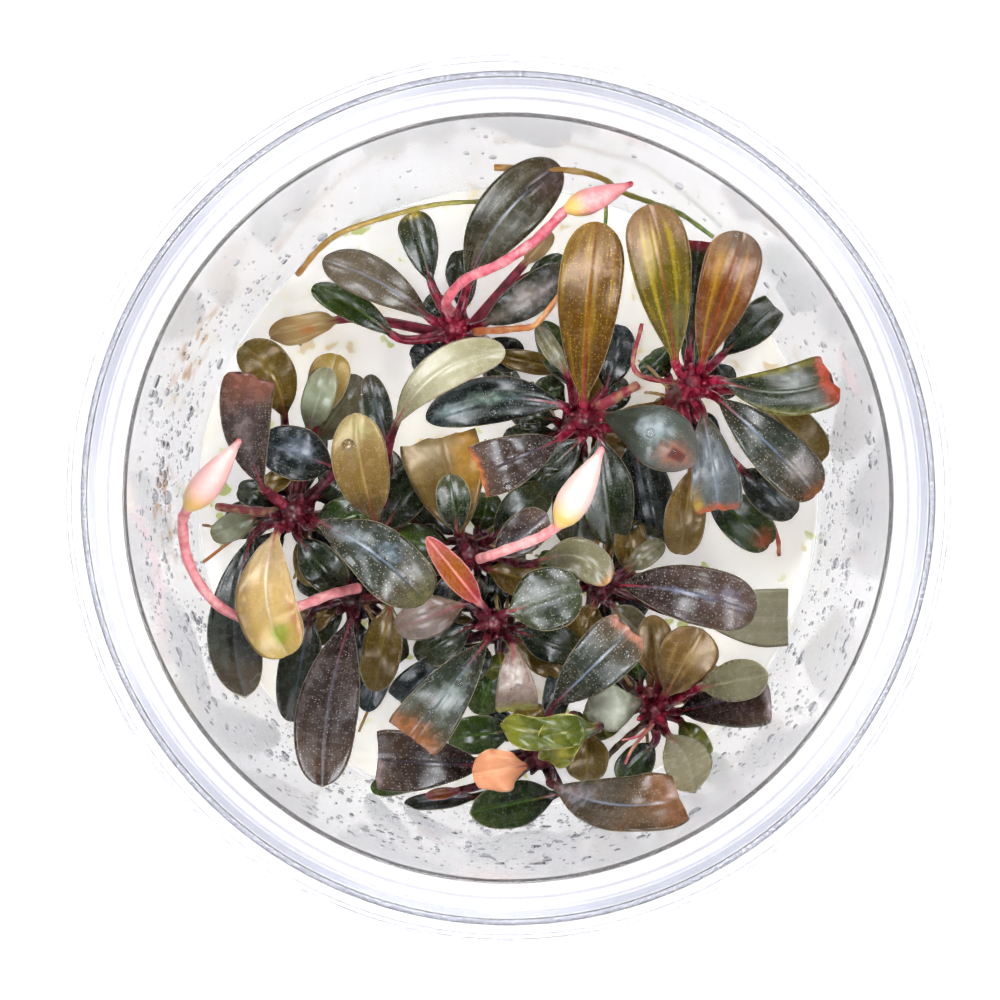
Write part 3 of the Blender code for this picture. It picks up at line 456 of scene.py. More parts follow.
def seen(x, y, z):
    """The point at height z that an eye above the cup sees at (x, y) on the plane of the rim."""
    scale = (EYE_ABOVE_RIM + CUP_HEIGHT - z) / EYE_ABOVE_RIM
    return Vector((x * scale, y * scale, z))


def wall_radius(z):
    """Inner radius of the cup's tapered wall at height z."""
    return FLOOR_INNER_RADIUS + WALL_SLOPE * (z - FLOOR_TOP)


def short_names():
    """The rhizomes by their names after rhizome_."""
    return {stem.name.removeprefix("rhizome_"): stem for stem in STEMS}


def outward(angle):
    """The level direction at an angle in radians."""
    return Vector((cos(angle), sin(angle), 0))


def linear(colour):
    """Scene-linear colour of a hex code."""
    parts = [int(colour[i : i + 2], 16) / 255 for i in (1, 3, 5)]
    return tuple(c / 12.92 if c <= 0.04045 else ((c + 0.055) / 1.055) ** 2.4 for c in parts)


def smooth(low, high, value):
    """0 to 1 as value goes from low to high, with soft ends."""
    t = min(max((value - low) / (high - low), 0.0), 1.0)
    return t * t * (3 - 2 * t)


# Node materials

class Nodes:
    """Short hand for the node tree of a material or of the world."""

    def __init__(self, owner):
        owner.use_nodes = True
        self.owner = owner
        self.tree = owner.node_tree

    def new(self, kind, inputs, **settings):
        node = self.tree.nodes.new("ShaderNode" + kind)
        for key, value in settings.items():
            setattr(node, key, value)
        for key, value in inputs.items():
            self.set(node.inputs[key], value)
        return node

    def set(self, socket, value):
        """Links a socket, or gives it a number, a vector or the colour of a hex code."""
        if isinstance(value, bpy.types.NodeSocket):
            self.tree.links.new(value, socket)
        elif isinstance(value, str):
            socket.default_value = (*linear(value), 1.0)
        else:
            socket.default_value = value

    def shade(self, shader, **inputs):
        """Sets what the tree's own shader is given, and returns the material or world."""
        for key, value in inputs.items():
            self.set(self.tree.nodes[shader].inputs[key.replace("_", " ")], value)
        return self.owner

    def surface(self, **inputs):
        return self.shade("Principled BSDF", **inputs)

    def number(self, name):
        """A number that the mesh carries for each of its points."""
        return self.new("Attribute", {}, attribute_name=name).outputs["Fac"]

    def place(self, space="Object"):
        return self.new("TexCoord", {}).outputs[space]

    def split(self, vector):
        return self.new("SeparateXYZ", {0: vector}).outputs

    def vector(self, x, y, z=0.0):
        return self.new("CombineXYZ", {0: x, 1: y, 2: z}).outputs[0]

    def math(self, operation, *values):
        return self.new("Math", dict(enumerate(values)), operation=operation).outputs[0]

    def times(self, a, b):
        return self.math("MULTIPLY", a, b)

    def span(self, value, low, high, start=0.0, end=1.0):
        """value from low to high, mapped smoothly to start to end."""
        inputs = {"Value": value, "From Min": low, "From Max": high, "To Min": start, "To Max": end}
        return self.new("MapRange", inputs, interpolation_type="SMOOTHSTEP").outputs["Result"]

    def noise(self, scale, detail=2.0, where=None, rough=0.5):
        inputs = {"Vector": where or self.place(), "Scale": scale, "Detail": detail, "Roughness": rough}
        return self.new("TexNoise", inputs).outputs["Fac"]

    def uneven(self, scale, low, high):
        """A number between two, in soft patches."""
        return self.span(self.noise(scale), 0.3, 0.7, low, high)

    def mix(self, share, a, b):
        return self.new("Mix", {0: share, 6: a, 7: b}, data_type="RGBA").outputs[2]

    def four(self, share, other, a, b, c, d):
        """a to b by the other share, mixed with c to d by the first."""
        return self.mix(share, self.mix(other, a, b), self.mix(other, c, d))

    def bump(self, height, strength, distance):
        inputs = {"Height": height, "Strength": strength, "Distance": distance}
        return self.new("Bump", inputs).outputs["Normal"]


def material(name):
    """The nodes of a new material."""
    return Nodes(bpy.data.materials.new(name))


class Look(NamedTuple):
    """How a kind of leaf is coloured, from its stalk to its tip."""

    low: str
    mid: str
    tip: str
    rib: str
    vein: str = "#5c645c"
    veins: float = 0.30  # strength of the fine parallel veins
    speck: str = "#b9b7a6"
    specks: float = 0.55
    edge: str = "#a89c80"
    under: str = "#5c3a3e"
    side_veins: float = 0.0  # strength of a pair of pale veins beside the midrib
    rough: float = 0.24
    sheen: str = "#f4f8ff"


LOOKS = {
    "black_green": Look("#10180a", "#1e2a0e", "#38381a", "#3c4a2c"),
    "black_blue": Look("#0c100a", "#141d1c", "#1e2a2e", "#465660"),
    "streaked": Look("#24220f", "#38361f", "#54442e", "#66748a", vein="#74705a", veins=0.5),
    "slate": Look("#181c0c", "#283026", "#443c2c", "#5c6a76"),
    "slate_specked": Look("#1c200e", "#2a3028", "#4c3c28", "#74849a", speck="#d4ccb8", specks=0.9),
    "slate_brown": Look("#2c2a22", "#403424", "#6c4626", "#7c8ca0", vein="#6c5c48", speck="#d4b898",
                        specks=0.7),
    "blue_grey": Look("#54503c", "#545c60", "#5c605c", "#a4b8c4", vein="#84909c", veins=0.5),
    "green_specked": Look("#343818", "#141a08", "#303618", "#58604c", speck="#d0d0bc", specks=0.9),
    "grey_gloss": Look("#20280f", "#3c4540", "#4c4a40", "#6c7468", speck="#c8c8b8", specks=0.5, rough=0.34),
    "purple": Look("#20140e", "#342822", "#503c2e", "#4c4858", speck="#d0c8c4", specks=0.85,
                   vein="#5c4e50"),
    "lilac": Look("#6c4c38", "#80726c", "#847060", "#a0606c", vein="#a89890", veins=0.5),
    "olive": Look("#4c3a0c", "#5a4614", "#6c5824", "#8c7838", vein="#84702c", veins=0.4, sheen="#fff0dc"),
    "olive_brown": Look("#5c4418", "#70582a", "#8c7850", "#a08450", vein="#947c40", veins=0.4, specks=0.7,
                        sheen="#fff0dc"),
    "olive_gold": Look("#4c4018", "#50440a", "#7c5c44", "#7c3c1c", vein="#a49018", veins=0.5,
                       speck="#ccb848", specks=0.75, edge="#c0a878", side_veins=0.6, sheen="#ffecd8"),
    "ochre": Look("#40260a", "#543808", "#6c4e24", "#7c3018", vein="#947410", veins=0.5, speck="#dcb430",
                  specks=0.95, edge="#b89c74", sheen="#ffe8d0"),
    "amber": Look("#582a0e", "#643610", "#785c4c", "#8c3c18", vein="#b08420", veins=0.5, speck="#c8943c",
                  specks=0.75, edge="#b89c84", side_veins=0.65, sheen="#ffe8d8"),
    "khaki": Look("#b49c78", "#b89a60", "#a88c38", "#d8d0bc", vein="#8c7430", edge="#e4d8bc",
                  speck="#e0d0a0", under="#84543c", sheen="#fff4e0"),
    "khaki_brown": Look("#54381a", "#6a5022", "#8c7044", "#a08454", vein="#a08450", veins=0.55,
                        sheen="#fff0dc"),
    "sage": Look("#605c40", "#6e6a4e", "#66604a", "#989878", vein="#8c8a70", speck="#d0cdb4"),
    "sage_light": Look("#7c7858", "#a09c80", "#908a6c", "#b4b49c", vein="#a8a48c", veins=0.45,
                       speck="#dcd8bc"),
    "sage_brown": Look("#4a4230", "#625848", "#6e604a", "#8890a0", vein="#84786a", speck="#d4c8ac",
                       specks=0.8),
    "pale": Look("#6c7048", "#a0a88c", "#888464", "#b4bca0", vein="#a4ac8c"),
    "green": Look("#16200a", "#283c0c", "#44541c", "#547828", vein="#4c681c"),
    "yellow_green": Look("#3c4a10", "#5c640f", "#74781a", "#8c8c2c", vein="#948c20", edge="#d0c470",
                         specks=0.3),
    "new": Look("#8c2430", "#8c4c10", "#b05c60", "#c87c74", speck="#e0b0a0", specks=0.3, vein="#c88428",
                edge="#d0808c", under="#a83c4c"),
    "withered": Look("#a08448", "#b89860", "#8c6828", "#ccb888", speck="#6c4c24", specks=0.5,
                     vein="#d4bc90", veins=0.5, edge="#dcc8a0", rough=0.5),
    "dead": Look("#d4845c", "#e09870", "#d88c60", "#f0b88c", speck="#b05828", specks=0.6, vein="#f4bc94",
                 veins=0.55, edge="#f0c098", rough=0.45, sheen="#fff0e4"),
}

BROWN_LOOKS = ("olive", "olive_brown", "olive_gold", "ochre", "amber", "khaki", "khaki_brown", "withered",
               "dead", "new")


def leaf_material(name, look):
    """A leathery leaf: mottled, veined and finely specked, with a groove down its middle and thin edges."""
    n = material("leaf " + name.replace("_", " "))
    keys = ("along", "across", "rib_mm", "edge_mm", "face")
    along, across, rib, edge, face = (n.number(key) for key in keys)
    broad, fine = n.noise(170.0), n.noise(900.0)
    colour = n.mix(n.span(along, 0.05, 0.55), look.low, look.mid)
    colour = n.mix(n.span(along, 0.55, 1.0), colour, look.tip)
    colour = n.mix(n.span(broad, 0.46, 0.70, 0.0, 0.55), colour, look.low)
    colour = n.mix(n.span(broad, 0.46, 0.30, 0.0, 0.35), colour, look.tip)
    lengthwise = n.vector(n.number("streak"), n.times(along, 0.003), n.number("seed"))
    streak = n.noise(700.0, 2.0, lengthwise, 0.6)
    colour = n.mix(n.span(streak, 0.46, 0.70, 0.0, look.veins), colour, look.vein)
    if look.side_veins:
        beside = n.math("ABSOLUTE", n.math("SUBTRACT", n.math("ABSOLUTE", across), 0.42))
        colour = n.mix(n.span(beside, 0.0, 0.10, look.side_veins, 0.0), colour, look.vein)
    flat = n.vector(rib, n.number("long_mm"))
    cell = n.new("TexVoronoi", {"Vector": flat, "Scale": SPECKS_PER_MM}, voronoi_dimensions="2D").outputs
    bright = n.new("SeparateColor", {0: cell["Color"]}).outputs[0]
    speck = n.times(n.span(cell["Distance"], 0.08, 0.24, 1.0, 0.0), n.span(bright, 0.3, 1.0))
    colour = n.mix(n.times(speck, look.specks * 0.75), colour, look.speck)
    # The groove down the middle takes the rib colour: red near the stalk, then the midrib's own colour, which
    # in the slate and blue leaves is a pale bluish painted highlight
    groove = n.span(n.math("ABSOLUTE", rib), 0.05, 0.22, 1.0, 0.0)
    rib_colour_and_highlight = n.mix(n.span(along, 0.0, 0.35), "#8c2834", look.rib)
    colour = n.mix(n.times(groove, n.span(along, 0.1, 0.95, 0.9, 0.3)), colour, rib_colour_and_highlight)
    colour = n.mix(n.span(edge, 0.04, 0.15, 0.9, 0.0), colour, look.edge)
    # The blade's own coloured patches, together with its painted highlights: pale patches painted where a
    # leaf shines
    patch_and_highlight = n.new("Attribute", {}, attribute_name="patch_and_highlight").outputs
    ragged = n.math("ADD", patch_and_highlight["Alpha"], n.span(fine, 0.3, 0.7, -0.10, 0.10))
    patch_and_highlight_colour = n.mix(n.span(fine, 0.65, 0.35, 0.0, 0.25), patch_and_highlight["Color"], look.mid)
    colour = n.mix(n.span(ragged, 0.08, 0.95), colour, patch_and_highlight_colour)
    colour = n.mix(n.times(n.math("SUBTRACT", 1.0, face), 0.6), colour, look.under)
    patches = n.span(fine, 0.35, 0.65)
    stalk = n.four(n.number("red"), patches, "#2c0810", "#4c1420", "#6c0820", "#a42444")
    colour = n.mix(n.span(along, -0.02, 0.05, 1.0, 0.0), colour, stalk)
    rough = n.span(fine, 0.3, 0.7, look.rough - 0.06, look.rough + 0.08)
    return n.surface(Base_Color=colour, Roughness=rough, Normal=n.bump(streak, 0.45, 0.00007),
                     Specular_IOR_Level=0.6, Specular_Tint=look.sheen)


def rhizome_material():
    """A red, patchy rhizome, brown and old at its foot, with pink flecks of painted highlight."""
    n = material("rhizome")
    patches = n.span(n.noise(350.0, 3.0), 0.35, 0.65)
    colour = n.four(n.number("red"), patches, "#1c080a", "#44121c", "#4c0818", "#941c38")
    old = n.mix(n.noise(600.0, 3.0), "#2c1410", "#6c4028")
    colour = n.mix(n.span(n.split(n.place())["Z"], 0.015, 0.021, 0.85, 0.0), colour, old)
    # Pink flecks: painted highlights on the red
    colour = n.mix(n.span(n.noise(1200.0), 0.58, 0.7, 0.0, 0.35), colour, "#c85c74")
    return n.surface(Base_Color=colour, Roughness=n.uneven(800.0, 0.26, 0.42),
                     Normal=n.bump(n.noise(900.0, 3.0), 0.6, 0.0002))


def spathe_material():
    """A waxy stalk and spathe: pink, yellow where the spathe is widest at its foot, red at its tip."""
    n = material("spathe")
    along, pale = n.number("along"), n.number("pale")
    grain = n.span(n.noise(1100.0, 3.0), 0.35, 0.65)
    stalk = n.four(grain, pale, "#c04058", "#dc8488", "#dc6478", "#f0acac")
    body = n.mix(pale, "#f08c94", "#f8d4cc")
    bloom = n.mix(n.span(along, 0.0, 0.10), "#e4b868", "#f0c468")
    bloom = n.mix(n.span(along, 0.10, 0.40), bloom, body)
    bloom = n.mix(n.span(along, 0.84, 0.97), bloom, n.mix(pale, "#b8142c", "#e8848c"))
    colour = n.mix(n.span(along, -0.02, 0.03), stalk, bloom)
    colour = n.mix(n.span(n.noise(700.0, 4.0, rough=0.7), 0.45, 0.7, 0.0, 0.3), colour, "#fbeae0")
    return n.surface(Base_Color=colour, Roughness=n.uneven(500.0, 0.34, 0.46),
                     Normal=n.bump(n.noise(1100.0), 0.35, 0.0002))


def clear_plastic():
    """Clear plastic, milky and fogged inside on the wall, and smeared brown in two places; painted shade
    greys the wall and draws thin rings on the rim.
    """
    n = material("clear plastic")
    where = n.place()
    smear = 0.0
    for middle in SMEARS:
        spot = {0: where, 1: tuple(c * MM for c in middle)}
        away = n.new("VectorMath", spot, operation="DISTANCE").outputs["Value"]
        smear = n.math("MAXIMUM", smear, n.span(away, *(reach * MM for reach in SMEAR_REACH), 1.0, 0.0))
    smear = n.times(smear, n.span(n.noise(420.0, 1.0), 0.50, 0.66))
    cloud = n.noise(45.0, 0.0)
    x, y, z = n.split(where)
    radius = n.math("SQRT", n.math("ADD", n.times(x, x), n.times(y, y)))
    tint_and_painted_shade = n.mix(cloud, "#f6f7fb", "#fbfcff")
    # Painted shade: the wall below the ledge is greyer, for the grey it shows when seen steeply from above
    painted_wall_shade = n.span(radius, *(end * MM for end in WALL_SHADE_END), 1.0, 0.0)
    tint_and_painted_shade = n.mix(painted_wall_shade, tint_and_painted_shade, n.mix(cloud, "#e3e3e7", "#ebebee"))
    # Painted shade: thin lavender rings where the rim's bends show lines of refraction
    for middle, half, colour in PAINTED_RIM_LINES:
        away = n.math("ABSOLUTE", n.math("SUBTRACT", radius, middle * MM))
        tint_and_painted_shade = n.mix(n.span(away, half * 0.6 * MM, half * MM, 1.0, 0.0), tint_and_painted_shade, colour)
    from_foot = n.math("SUBTRACT", radius, n.times(z, WALL_SLOPE))
    fog = [(wall_radius(0.0) + depth) * MM for depth in FOG_DEPTH]
    return n.surface(Base_Color=n.mix(smear, tint_and_painted_shade, "#b89070"), Transmission_Weight=0.96, IOR=1.49,
                     Roughness=n.span(from_foot, *fog, FOGGED_ROUGHNESS, CLEAR_ROUGHNESS))


def gel_material():
    """Nearly white jelly with yellow-green flecks of young growth, and a faint glow of painted light."""
    n = material("culture gel")
    cloud = n.noise(75.0)
    colour = n.mix(n.span(cloud, 0.3, 0.7), "#fdfbf0", "#ffffff")
    crumbs = n.noise(330.0, 2.0, rough=0.6)
    fleck = n.times(n.span(crumbs, 0.60, 0.68), n.span(cloud, 0.44, 0.56))
    colour = n.mix(n.times(fleck, 0.8), colour, "#a8b43c")
    stain = n.times(n.span(crumbs, 0.44, 0.30), n.span(cloud, 0.56, 0.44))
    colour = n.mix(n.times(stain, 0.7), colour, "#d0b880")
    # The glow is painted light that keeps the shaded gel nearly white
    return n.surface(Base_Color=colour, Roughness=0.22, Normal=n.bump(cloud, 0.4, 0.0008),
                     Emission_Color=colour, Emission_Strength=GEL_GLOW)


def water_material(name, light, dark):
    """Clear water, tinted unevenly between two colours."""
    n = material(name)
    return n.surface(Base_Color=n.mix(n.noise(300.0, 0.0), light, dark), Roughness=0.0,
                     Transmission_Weight=1.0, IOR=1.333)


def thread_material(name, start, end):
    """A root or stalk, from its first colour to its last."""
    n = material("thread " + name.replace("_", " "))
    colour = n.mix(n.number("along"), start, end)
    colour = n.mix(n.span(n.noise(900.0), 0.4, 0.7, 0.0, 0.4), colour, "#e0c890")
    return n.surface(Base_Color=colour, Roughness=n.uneven(500.0, 0.3, 0.45))


# Mesh building

def placed(name, data):
    """A new object in the scene."""
    thing = bpy.data.objects.new(name, data)
    bpy.context.scene.collection.objects.link(thing)
    return thing


def mesh_piece(name, points, faces, finish, slot, numbers=None, patches_and_painted_highlights=None):
    """A smooth visible piece from points in millimetres, with numbers and a colour kept for each point."""
    mesh = bpy.data.meshes.new(name)
    mesh.from_pydata([tuple(c * MM for c in p) for p in points], [], faces)
    mesh.shade_smooth()
    for key, values in (numbers or {}).items():
        mesh.attributes.new(key, "FLOAT", "POINT").data.foreach_set("value", values)
    if patches_and_painted_highlights is not None:
        patches = mesh.color_attributes.new("patch_and_highlight", "FLOAT_COLOR", "POINT")
        patches.data.foreach_set("color", [c for m in patches_and_painted_highlights for c in m])
    mesh.materials.append(finish)
    piece = placed(name, mesh)
    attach(piece, "root")
    return piece


def ring_faces(sides, bands):
    """Faces of a tube of rings, closed at both ends."""
    faces = []
    for low in range(0, bands * sides, sides):
        for k in range(sides):
            after = (k + 1) % sides
            faces.append((low + k, low + after, low + sides + after, low + sides + k))
    last = bands * sides
    return [*faces, tuple(range(sides))[::-1], tuple(range(last, last + sides))]


def curve_through(points, count):
    """Points and tangents at even shares of a smooth curve through the given points."""
    ends = [2 * points[0] - points[1], *points, 2 * points[-1] - points[-2]]
    spans = len(points) - 1
    places, tangents = [], []
    for step in range(count):
        share = step / (count - 1) * spans
        i = min(int(share), spans - 1)
        t = share - i
        a, b, c, d = ends[i : i + 4]
        square = 2 * a - 5 * b + 4 * c - d
        cube = 3 * b - a - 3 * c + d
        places.append(0.5 * (2 * b + (c - a) * t + square * t**2 + cube * t**3))
        tangents.append((c - a + 2 * square * t + 3 * cube * t**2).normalized())
    return places, tangents


def round_ring(centre, tangent, side_hint, radius, sides, flat=1.0):
    """Points of a ring across a tangent, round or flattened."""
    side = (side_hint - side_hint.dot(tangent) * tangent).normalized()
    up = tangent.cross(side)
    angles = [2 * pi * k / sides for k in range(sides)]
    return [centre + radius * (side * cos(angle) + up * flat * sin(angle)) for angle in angles]


# Leaves

def blade_share(leaf, u):
    """Half width of the blade at share u of its length, as a share of its greatest."""
    whole = min(u * leaf.cut, 1.0)
    if whole < leaf.belly:
        return sin(pi / 2 * whole / leaf.belly) ** 0.75
    past = (whole - leaf.belly) / (1 - leaf.belly)
    return max(1 - past**leaf.blunt, 0.0) ** 0.5


def leftward(leaf):
    """The level direction to the left of a blade, as long as the blade is in the plan."""
    return Vector((leaf.base[1] - leaf.tip[1], leaf.tip[0] - leaf.base[0], 0))


def midrib(leaf):
    """The blade's base, the handle of its curve and its tip."""
    low, middle, high = leaf.heights
    base = seen(*leaf.base, low)
    tip = seen(*leaf.tip, high)
    left = leftward(leaf).normalized()
    x = (leaf.base[0] + leaf.tip[0]) / 2 + left.x * leaf.bow
    y = (leaf.base[1] + leaf.tip[1]) / 2 + left.y * leaf.bow
    return base, 2 * seen(x, y, middle) - (base + tip) / 2, tip


def petiole_start(leaf, stem, towards):
    """Where a petiole meets its rhizome: on its side, facing the blade."""
    places, _ = curve_through([seen(*point) for point in stem.points], 21)
    root = places[round(leaf.share * 20)]
    away = Vector((towards.x - root.x, towards.y - root.y, 0)).normalized()
    return root + away * (stem.radius * 0.6), away


def leaf_rings(leaf, stem):
    """(share along, centre, tangent, half width, thickness) of every ring, petiole first."""
    base, handle, tip = midrib(leaf)
    start, away = petiole_start(leaf, stem, base)
    reach = (base - start).length / 3
    lead = start + (away + Vector((0, 0, 0.7))).normalized() * reach
    follow = base - (handle - base).normalized() * reach
    rings = []
    for i in range(PETIOLE_RINGS):
        t = i / PETIOLE_RINGS
        s = 1 - t
        place = s**3 * start + 3 * s * s * t * lead + 3 * s * t * t * follow + t**3 * base
        slope = 3 * s * s * (lead - start) + 6 * s * t * (follow - lead) + 3 * t * t * (base - follow)
        radius = PETIOLE_RADIUS * t + SHEATH_RADIUS * s
        rings.append((-0.3 * s, place, slope.normalized(), radius, 2 * radius))
    for i in range(BLADE_RINGS + 1):
        u = sin(pi / 2 * i / BLADE_RINGS)
        s = 1 - u
        place = s * s * base + 2 * s * u * handle + u * u * tip
        slope = 2 * s * (handle - base) + 2 * u * (tip - handle)
        half = max(leaf.width / 2 * blade_share(leaf, u), PETIOLE_RADIUS * (1 - u), 0.06)
        thick = LEAF_THICKNESS + (1.6 * PETIOLE_RADIUS - LEAF_THICKNESS) * smooth(0.12, 0.0, u)
        rings.append((u, place, slope.normalized(), half, thick))
    return rings


def build_leaf(leaf, stems, materials, chance):
    """A leaf in one closed mesh: a stalk that widens into a blade with a groove along its middle."""
    across = [1 - 2 * k / (TOP_POINTS - 1) for k in range(TOP_POINTS)]
    across += [-1 + 2 * (k + 1) / (UNDER_POINTS + 1) for k in range(UNDER_POINTS)]
    stem = stems[leaf.stem]
    left = leftward(leaf)
    phase = chance.uniform(0, 2 * pi)
    seed = chance.uniform(0, 50)
    points, patches_and_painted_highlights = [], []
    keys = ("along", "across", "rib_mm", "long_mm", "edge_mm", "face", "streak", "seed", "red")
    numbers = {key: [] for key in keys}
    length = 10 * seed
    before = midrib(leaf)[0]
    for share, place, tangent, half, thick in leaf_rings(leaf, stem):
        length += (place - before).length
        before = place
        side = (left - left.dot(tangent) * tangent).normalized()
        side = Quaternion(tangent, radians(leaf.roll)) @ side
        up = tangent.cross(side)
        blade = smooth(0.0, 0.15, share)
        for k, v in enumerate(across):
            top = k < TOP_POINTS
            margin = 1 + leaf.wave * blade * sin(9 * share + phase + v)
            rise = leaf.cup * half * abs(v) ** 1.6 * blade
            rise += leaf.wave * 2.2 * half * blade * v * v * sin(14 * share + phase * 2 + 2.5 * v)
            groove = 0.20 * blade * exp(-((v * half / 0.40) ** 2)) * (1 if top else 0.7)
            depth = EDGE_THICKNESS / 2 + (thick - EDGE_THICKNESS) / 2 * (1 - v * v) ** 0.6
            if abs(v) == 1:
                depth = 0.0
            ragged = 0.0
            if leaf.torn and share > 0.6:
                jag = noise.noise(Vector((v * 2.6, seed, 0))) + 0.5 * noise.noise(Vector((v * 8, seed, 3)))
                ragged = leaf.torn * jag * smooth(0.8, 1.0, share)
            lift = rise - groove + (depth if top else -depth)
            points.append(place + side * (v * half * margin) + up * lift + tangent * ragged)
            values = (share, v, v * half, length, (1 - abs(v)) * half, float(top), v * 0.006, seed, stem.red)
            for key, value in zip(keys, values):
                numbers[key].append(value)
            patches_and_painted_highlights.append(patch_and_highlight_at(leaf, share, v))
    faces = ring_faces(TOP_POINTS + UNDER_POINTS, PETIOLE_RINGS + BLADE_RINGS)
    slot = "leaf_brown" if leaf.look in BROWN_LOOKS else "leaf_dark"
    return mesh_piece(leaf.name + "_skin", points, faces, materials[leaf.look], slot, numbers, patches_and_painted_highlights)


def patch_and_highlight_at(leaf, share, v):
    """The colour of the blade's patches and painted highlights at a place of the blade, with how strongly it
    shows.
    """
    colour, most = (0.0, 0.0, 0.0), 0.0
    for along, over, reach, breadth, hue, strength in leaf.patches_and_painted_highlights:
        near = strength * exp(-(((share - along) / reach) ** 2) - ((v - over) / breadth) ** 2)
        if near > most:
            colour, most = linear(hue), near
    return (*colour, most)


def young_leaves(chance):
    """Low young leaves round every rhizome, most where the plantlets crowd together."""
    for short, stem in short_names().items():
        x, y, _ = stem.points[1]
        for k in range(stem.young):
            angle = 2 * pi * (k + chance.uniform(-0.35, 0.35)) / stem.young
            near, far = chance.uniform(*YOUNG_START), chance.uniform(*YOUNG_END)
            base = (x + near * cos(angle), y + near * sin(angle))
            tip = (x + far * cos(angle), y + far * sin(angle))
            if hypot(*tip) > YOUNG_FARTHEST:
                continue
            low = chance.uniform(*YOUNG_HEIGHT)
            yield Leaf(f"young_{short}_{k + 1}", short, chance.uniform(0.15, 0.4), base, tip,
                       chance.uniform(*YOUNG_WIDTH), (low, low + 1.5, low), chance.choice(YOUNG_LOOKS),
                       bow=chance.uniform(-0.8, 0.8), belly=0.6, wave=0.05)


# Rhizomes, flowers and small growth

def build_stem(stem, finish):
    """A rhizome: knobbly, ringed by old leaf scars, with a domed crown."""
    places, tangents = curve_through([seen(*point) for point in stem.points], STEM_RINGS)
    hint = Vector((1, 0.2, 0))
    rings = []
    for i, (place, tangent) in enumerate(zip(places, tangents)):
        share = i / (STEM_RINGS - 1)
        swell = 1 + 0.07 * sin(share * 21) + 0.05 * noise.noise(place * 0.8)
        radius = stem.radius * swell * (1 - 0.12 * share)
        heading = tangent if i else Vector((0, 0, 1))
        ring = round_ring(place, heading, hint, radius, STEM_SIDES)
        rings.append([p + (p - place) * 0.10 * noise.noise(p * 0.9) for p in ring])
    for rise, size in CROWN_OUTLINE:
        crown = places[-1] + tangents[-1] * stem.radius * rise
        rings.append(round_ring(crown, tangents[-1], hint, stem.radius * size, STEM_SIDES))
    points = [p for ring in rings for p in ring]
    faces = ring_faces(STEM_SIDES, len(rings) - 1)
    kept = {"red": [stem.red] * len(points)}
    piece = mesh_piece(stem.name + "_skin", points, faces, finish, "rhizome", kept)
    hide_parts(stem.name)


def build_spathe(spathe, finish):
    """A flower: a curved, slightly lumpy stalk and a closed, pointed spathe with a knob at its tip."""
    route = [seen(*point) for point in spathe.route]
    neck, tip = route[-1], seen(*spathe.tip)
    hint = Vector((0.3, 0.2, 1.0))
    count = 10 * len(route)
    places, tangents = curve_through(route, count)
    points, shares = [], []
    for i, (place, tangent) in enumerate(zip(places[:-1], tangents[:-1])):
        radius = STALK_RADIUS * (1 + 0.06 * sin(i * 0.9))
        points += round_ring(place, tangent, hint, radius, SPATHE_SIDES)
        shares += [-1 + i / count] * SPATHE_SIDES
    axis = tip - neck
    for share, part in SPATHE_OUTLINE:
        centre = neck + axis * share
        ring = round_ring(centre, axis.normalized(), hint, spathe.width / 2 * part, SPATHE_SIDES, 0.8)
        for k, p in enumerate(ring):
            from_top = k - SPATHE_SIDES // 4
            ridge = 0.05 * spathe.width * exp(-((from_top / 1.2) ** 2)) * sin(pi * share)
            points.append(p + (p - centre).normalized() * ridge)
        shares += [share] * SPATHE_SIDES
    faces = ring_faces(SPATHE_SIDES, len(points) // SPATHE_SIDES - 1)
    kept = {"along": shares, "pale": [spathe.pale] * len(points)}
    piece = mesh_piece(spathe.name + "_skin", points, faces, finish, "spathe", kept)
    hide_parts(spathe.name)


def tube(points, radii, sides=8):
    """Points, faces and shares along a closed tube through the points, its radius from first to last."""
    hint = Vector((0.3, 1.0, 0.2))
    count = 6 * len(points)
    places, tangents = curve_through(points, count)
    made, shares = [], []
    for i, (place, tangent) in enumerate(zip(places, tangents)):
        t = i / (count - 1)
        radius = (radii[0] * (1 - t) + radii[1] * t) * (1 + 0.10 * sin(i * 1.7))
        made += round_ring(place, tangent, hint, radius, sides)
        shares += [t] * sides
    return made, ring_faces(sides, count - 1), shares


def joined(parts):
    """One list of points and one of faces from many."""
    points, faces = [], []
    for some_points, some_faces, *_ in parts:
        first = len(points)
        points += some_points
        faces += [tuple(first + k for k in face) for face in some_faces]
    return points, faces


def build_thread(name, route, radius, start, end):
    """A bare stalk, blade or loose root."""
    points, faces, shares = tube([seen(*point) for point in route], (radius, radius * 0.7))
    mesh_piece(name, points, faces, thread_material(name, start, end), "rhizome", {"along": shares})


def build_sheaths(stem, finish, chance):
    """The short bases of young and fallen leaves round a crown."""
    crown = seen(*stem.points[-1])
    parts = []
    for k in range(stem.sheaths):
        out = outward(2 * pi * (k + chance.uniform(-0.3, 0.3)) / stem.sheaths)
        low = crown + out * stem.radius * chance.uniform(0.2, 0.6) - Vector((0, 0, chance.uniform(0.0, 3.0)))
        reach = chance.uniform(1.0, 2.3)
        middle = low + out * reach * 0.6 + Vector((0, 0, chance.uniform(1.0, 2.2)))
        top = middle + out * reach * 0.3 + Vector((0, 0, chance.uniform(1.0, 2.4)))
        parts.append(tube([low, middle, top], OLD_BASE_RADII))
    points, faces = joined(parts)
    name = stem.name.replace("rhizome", "sheaths")
    mesh_piece(name, points, faces, finish, "rhizome", {"red": [stem.red] * len(points)})


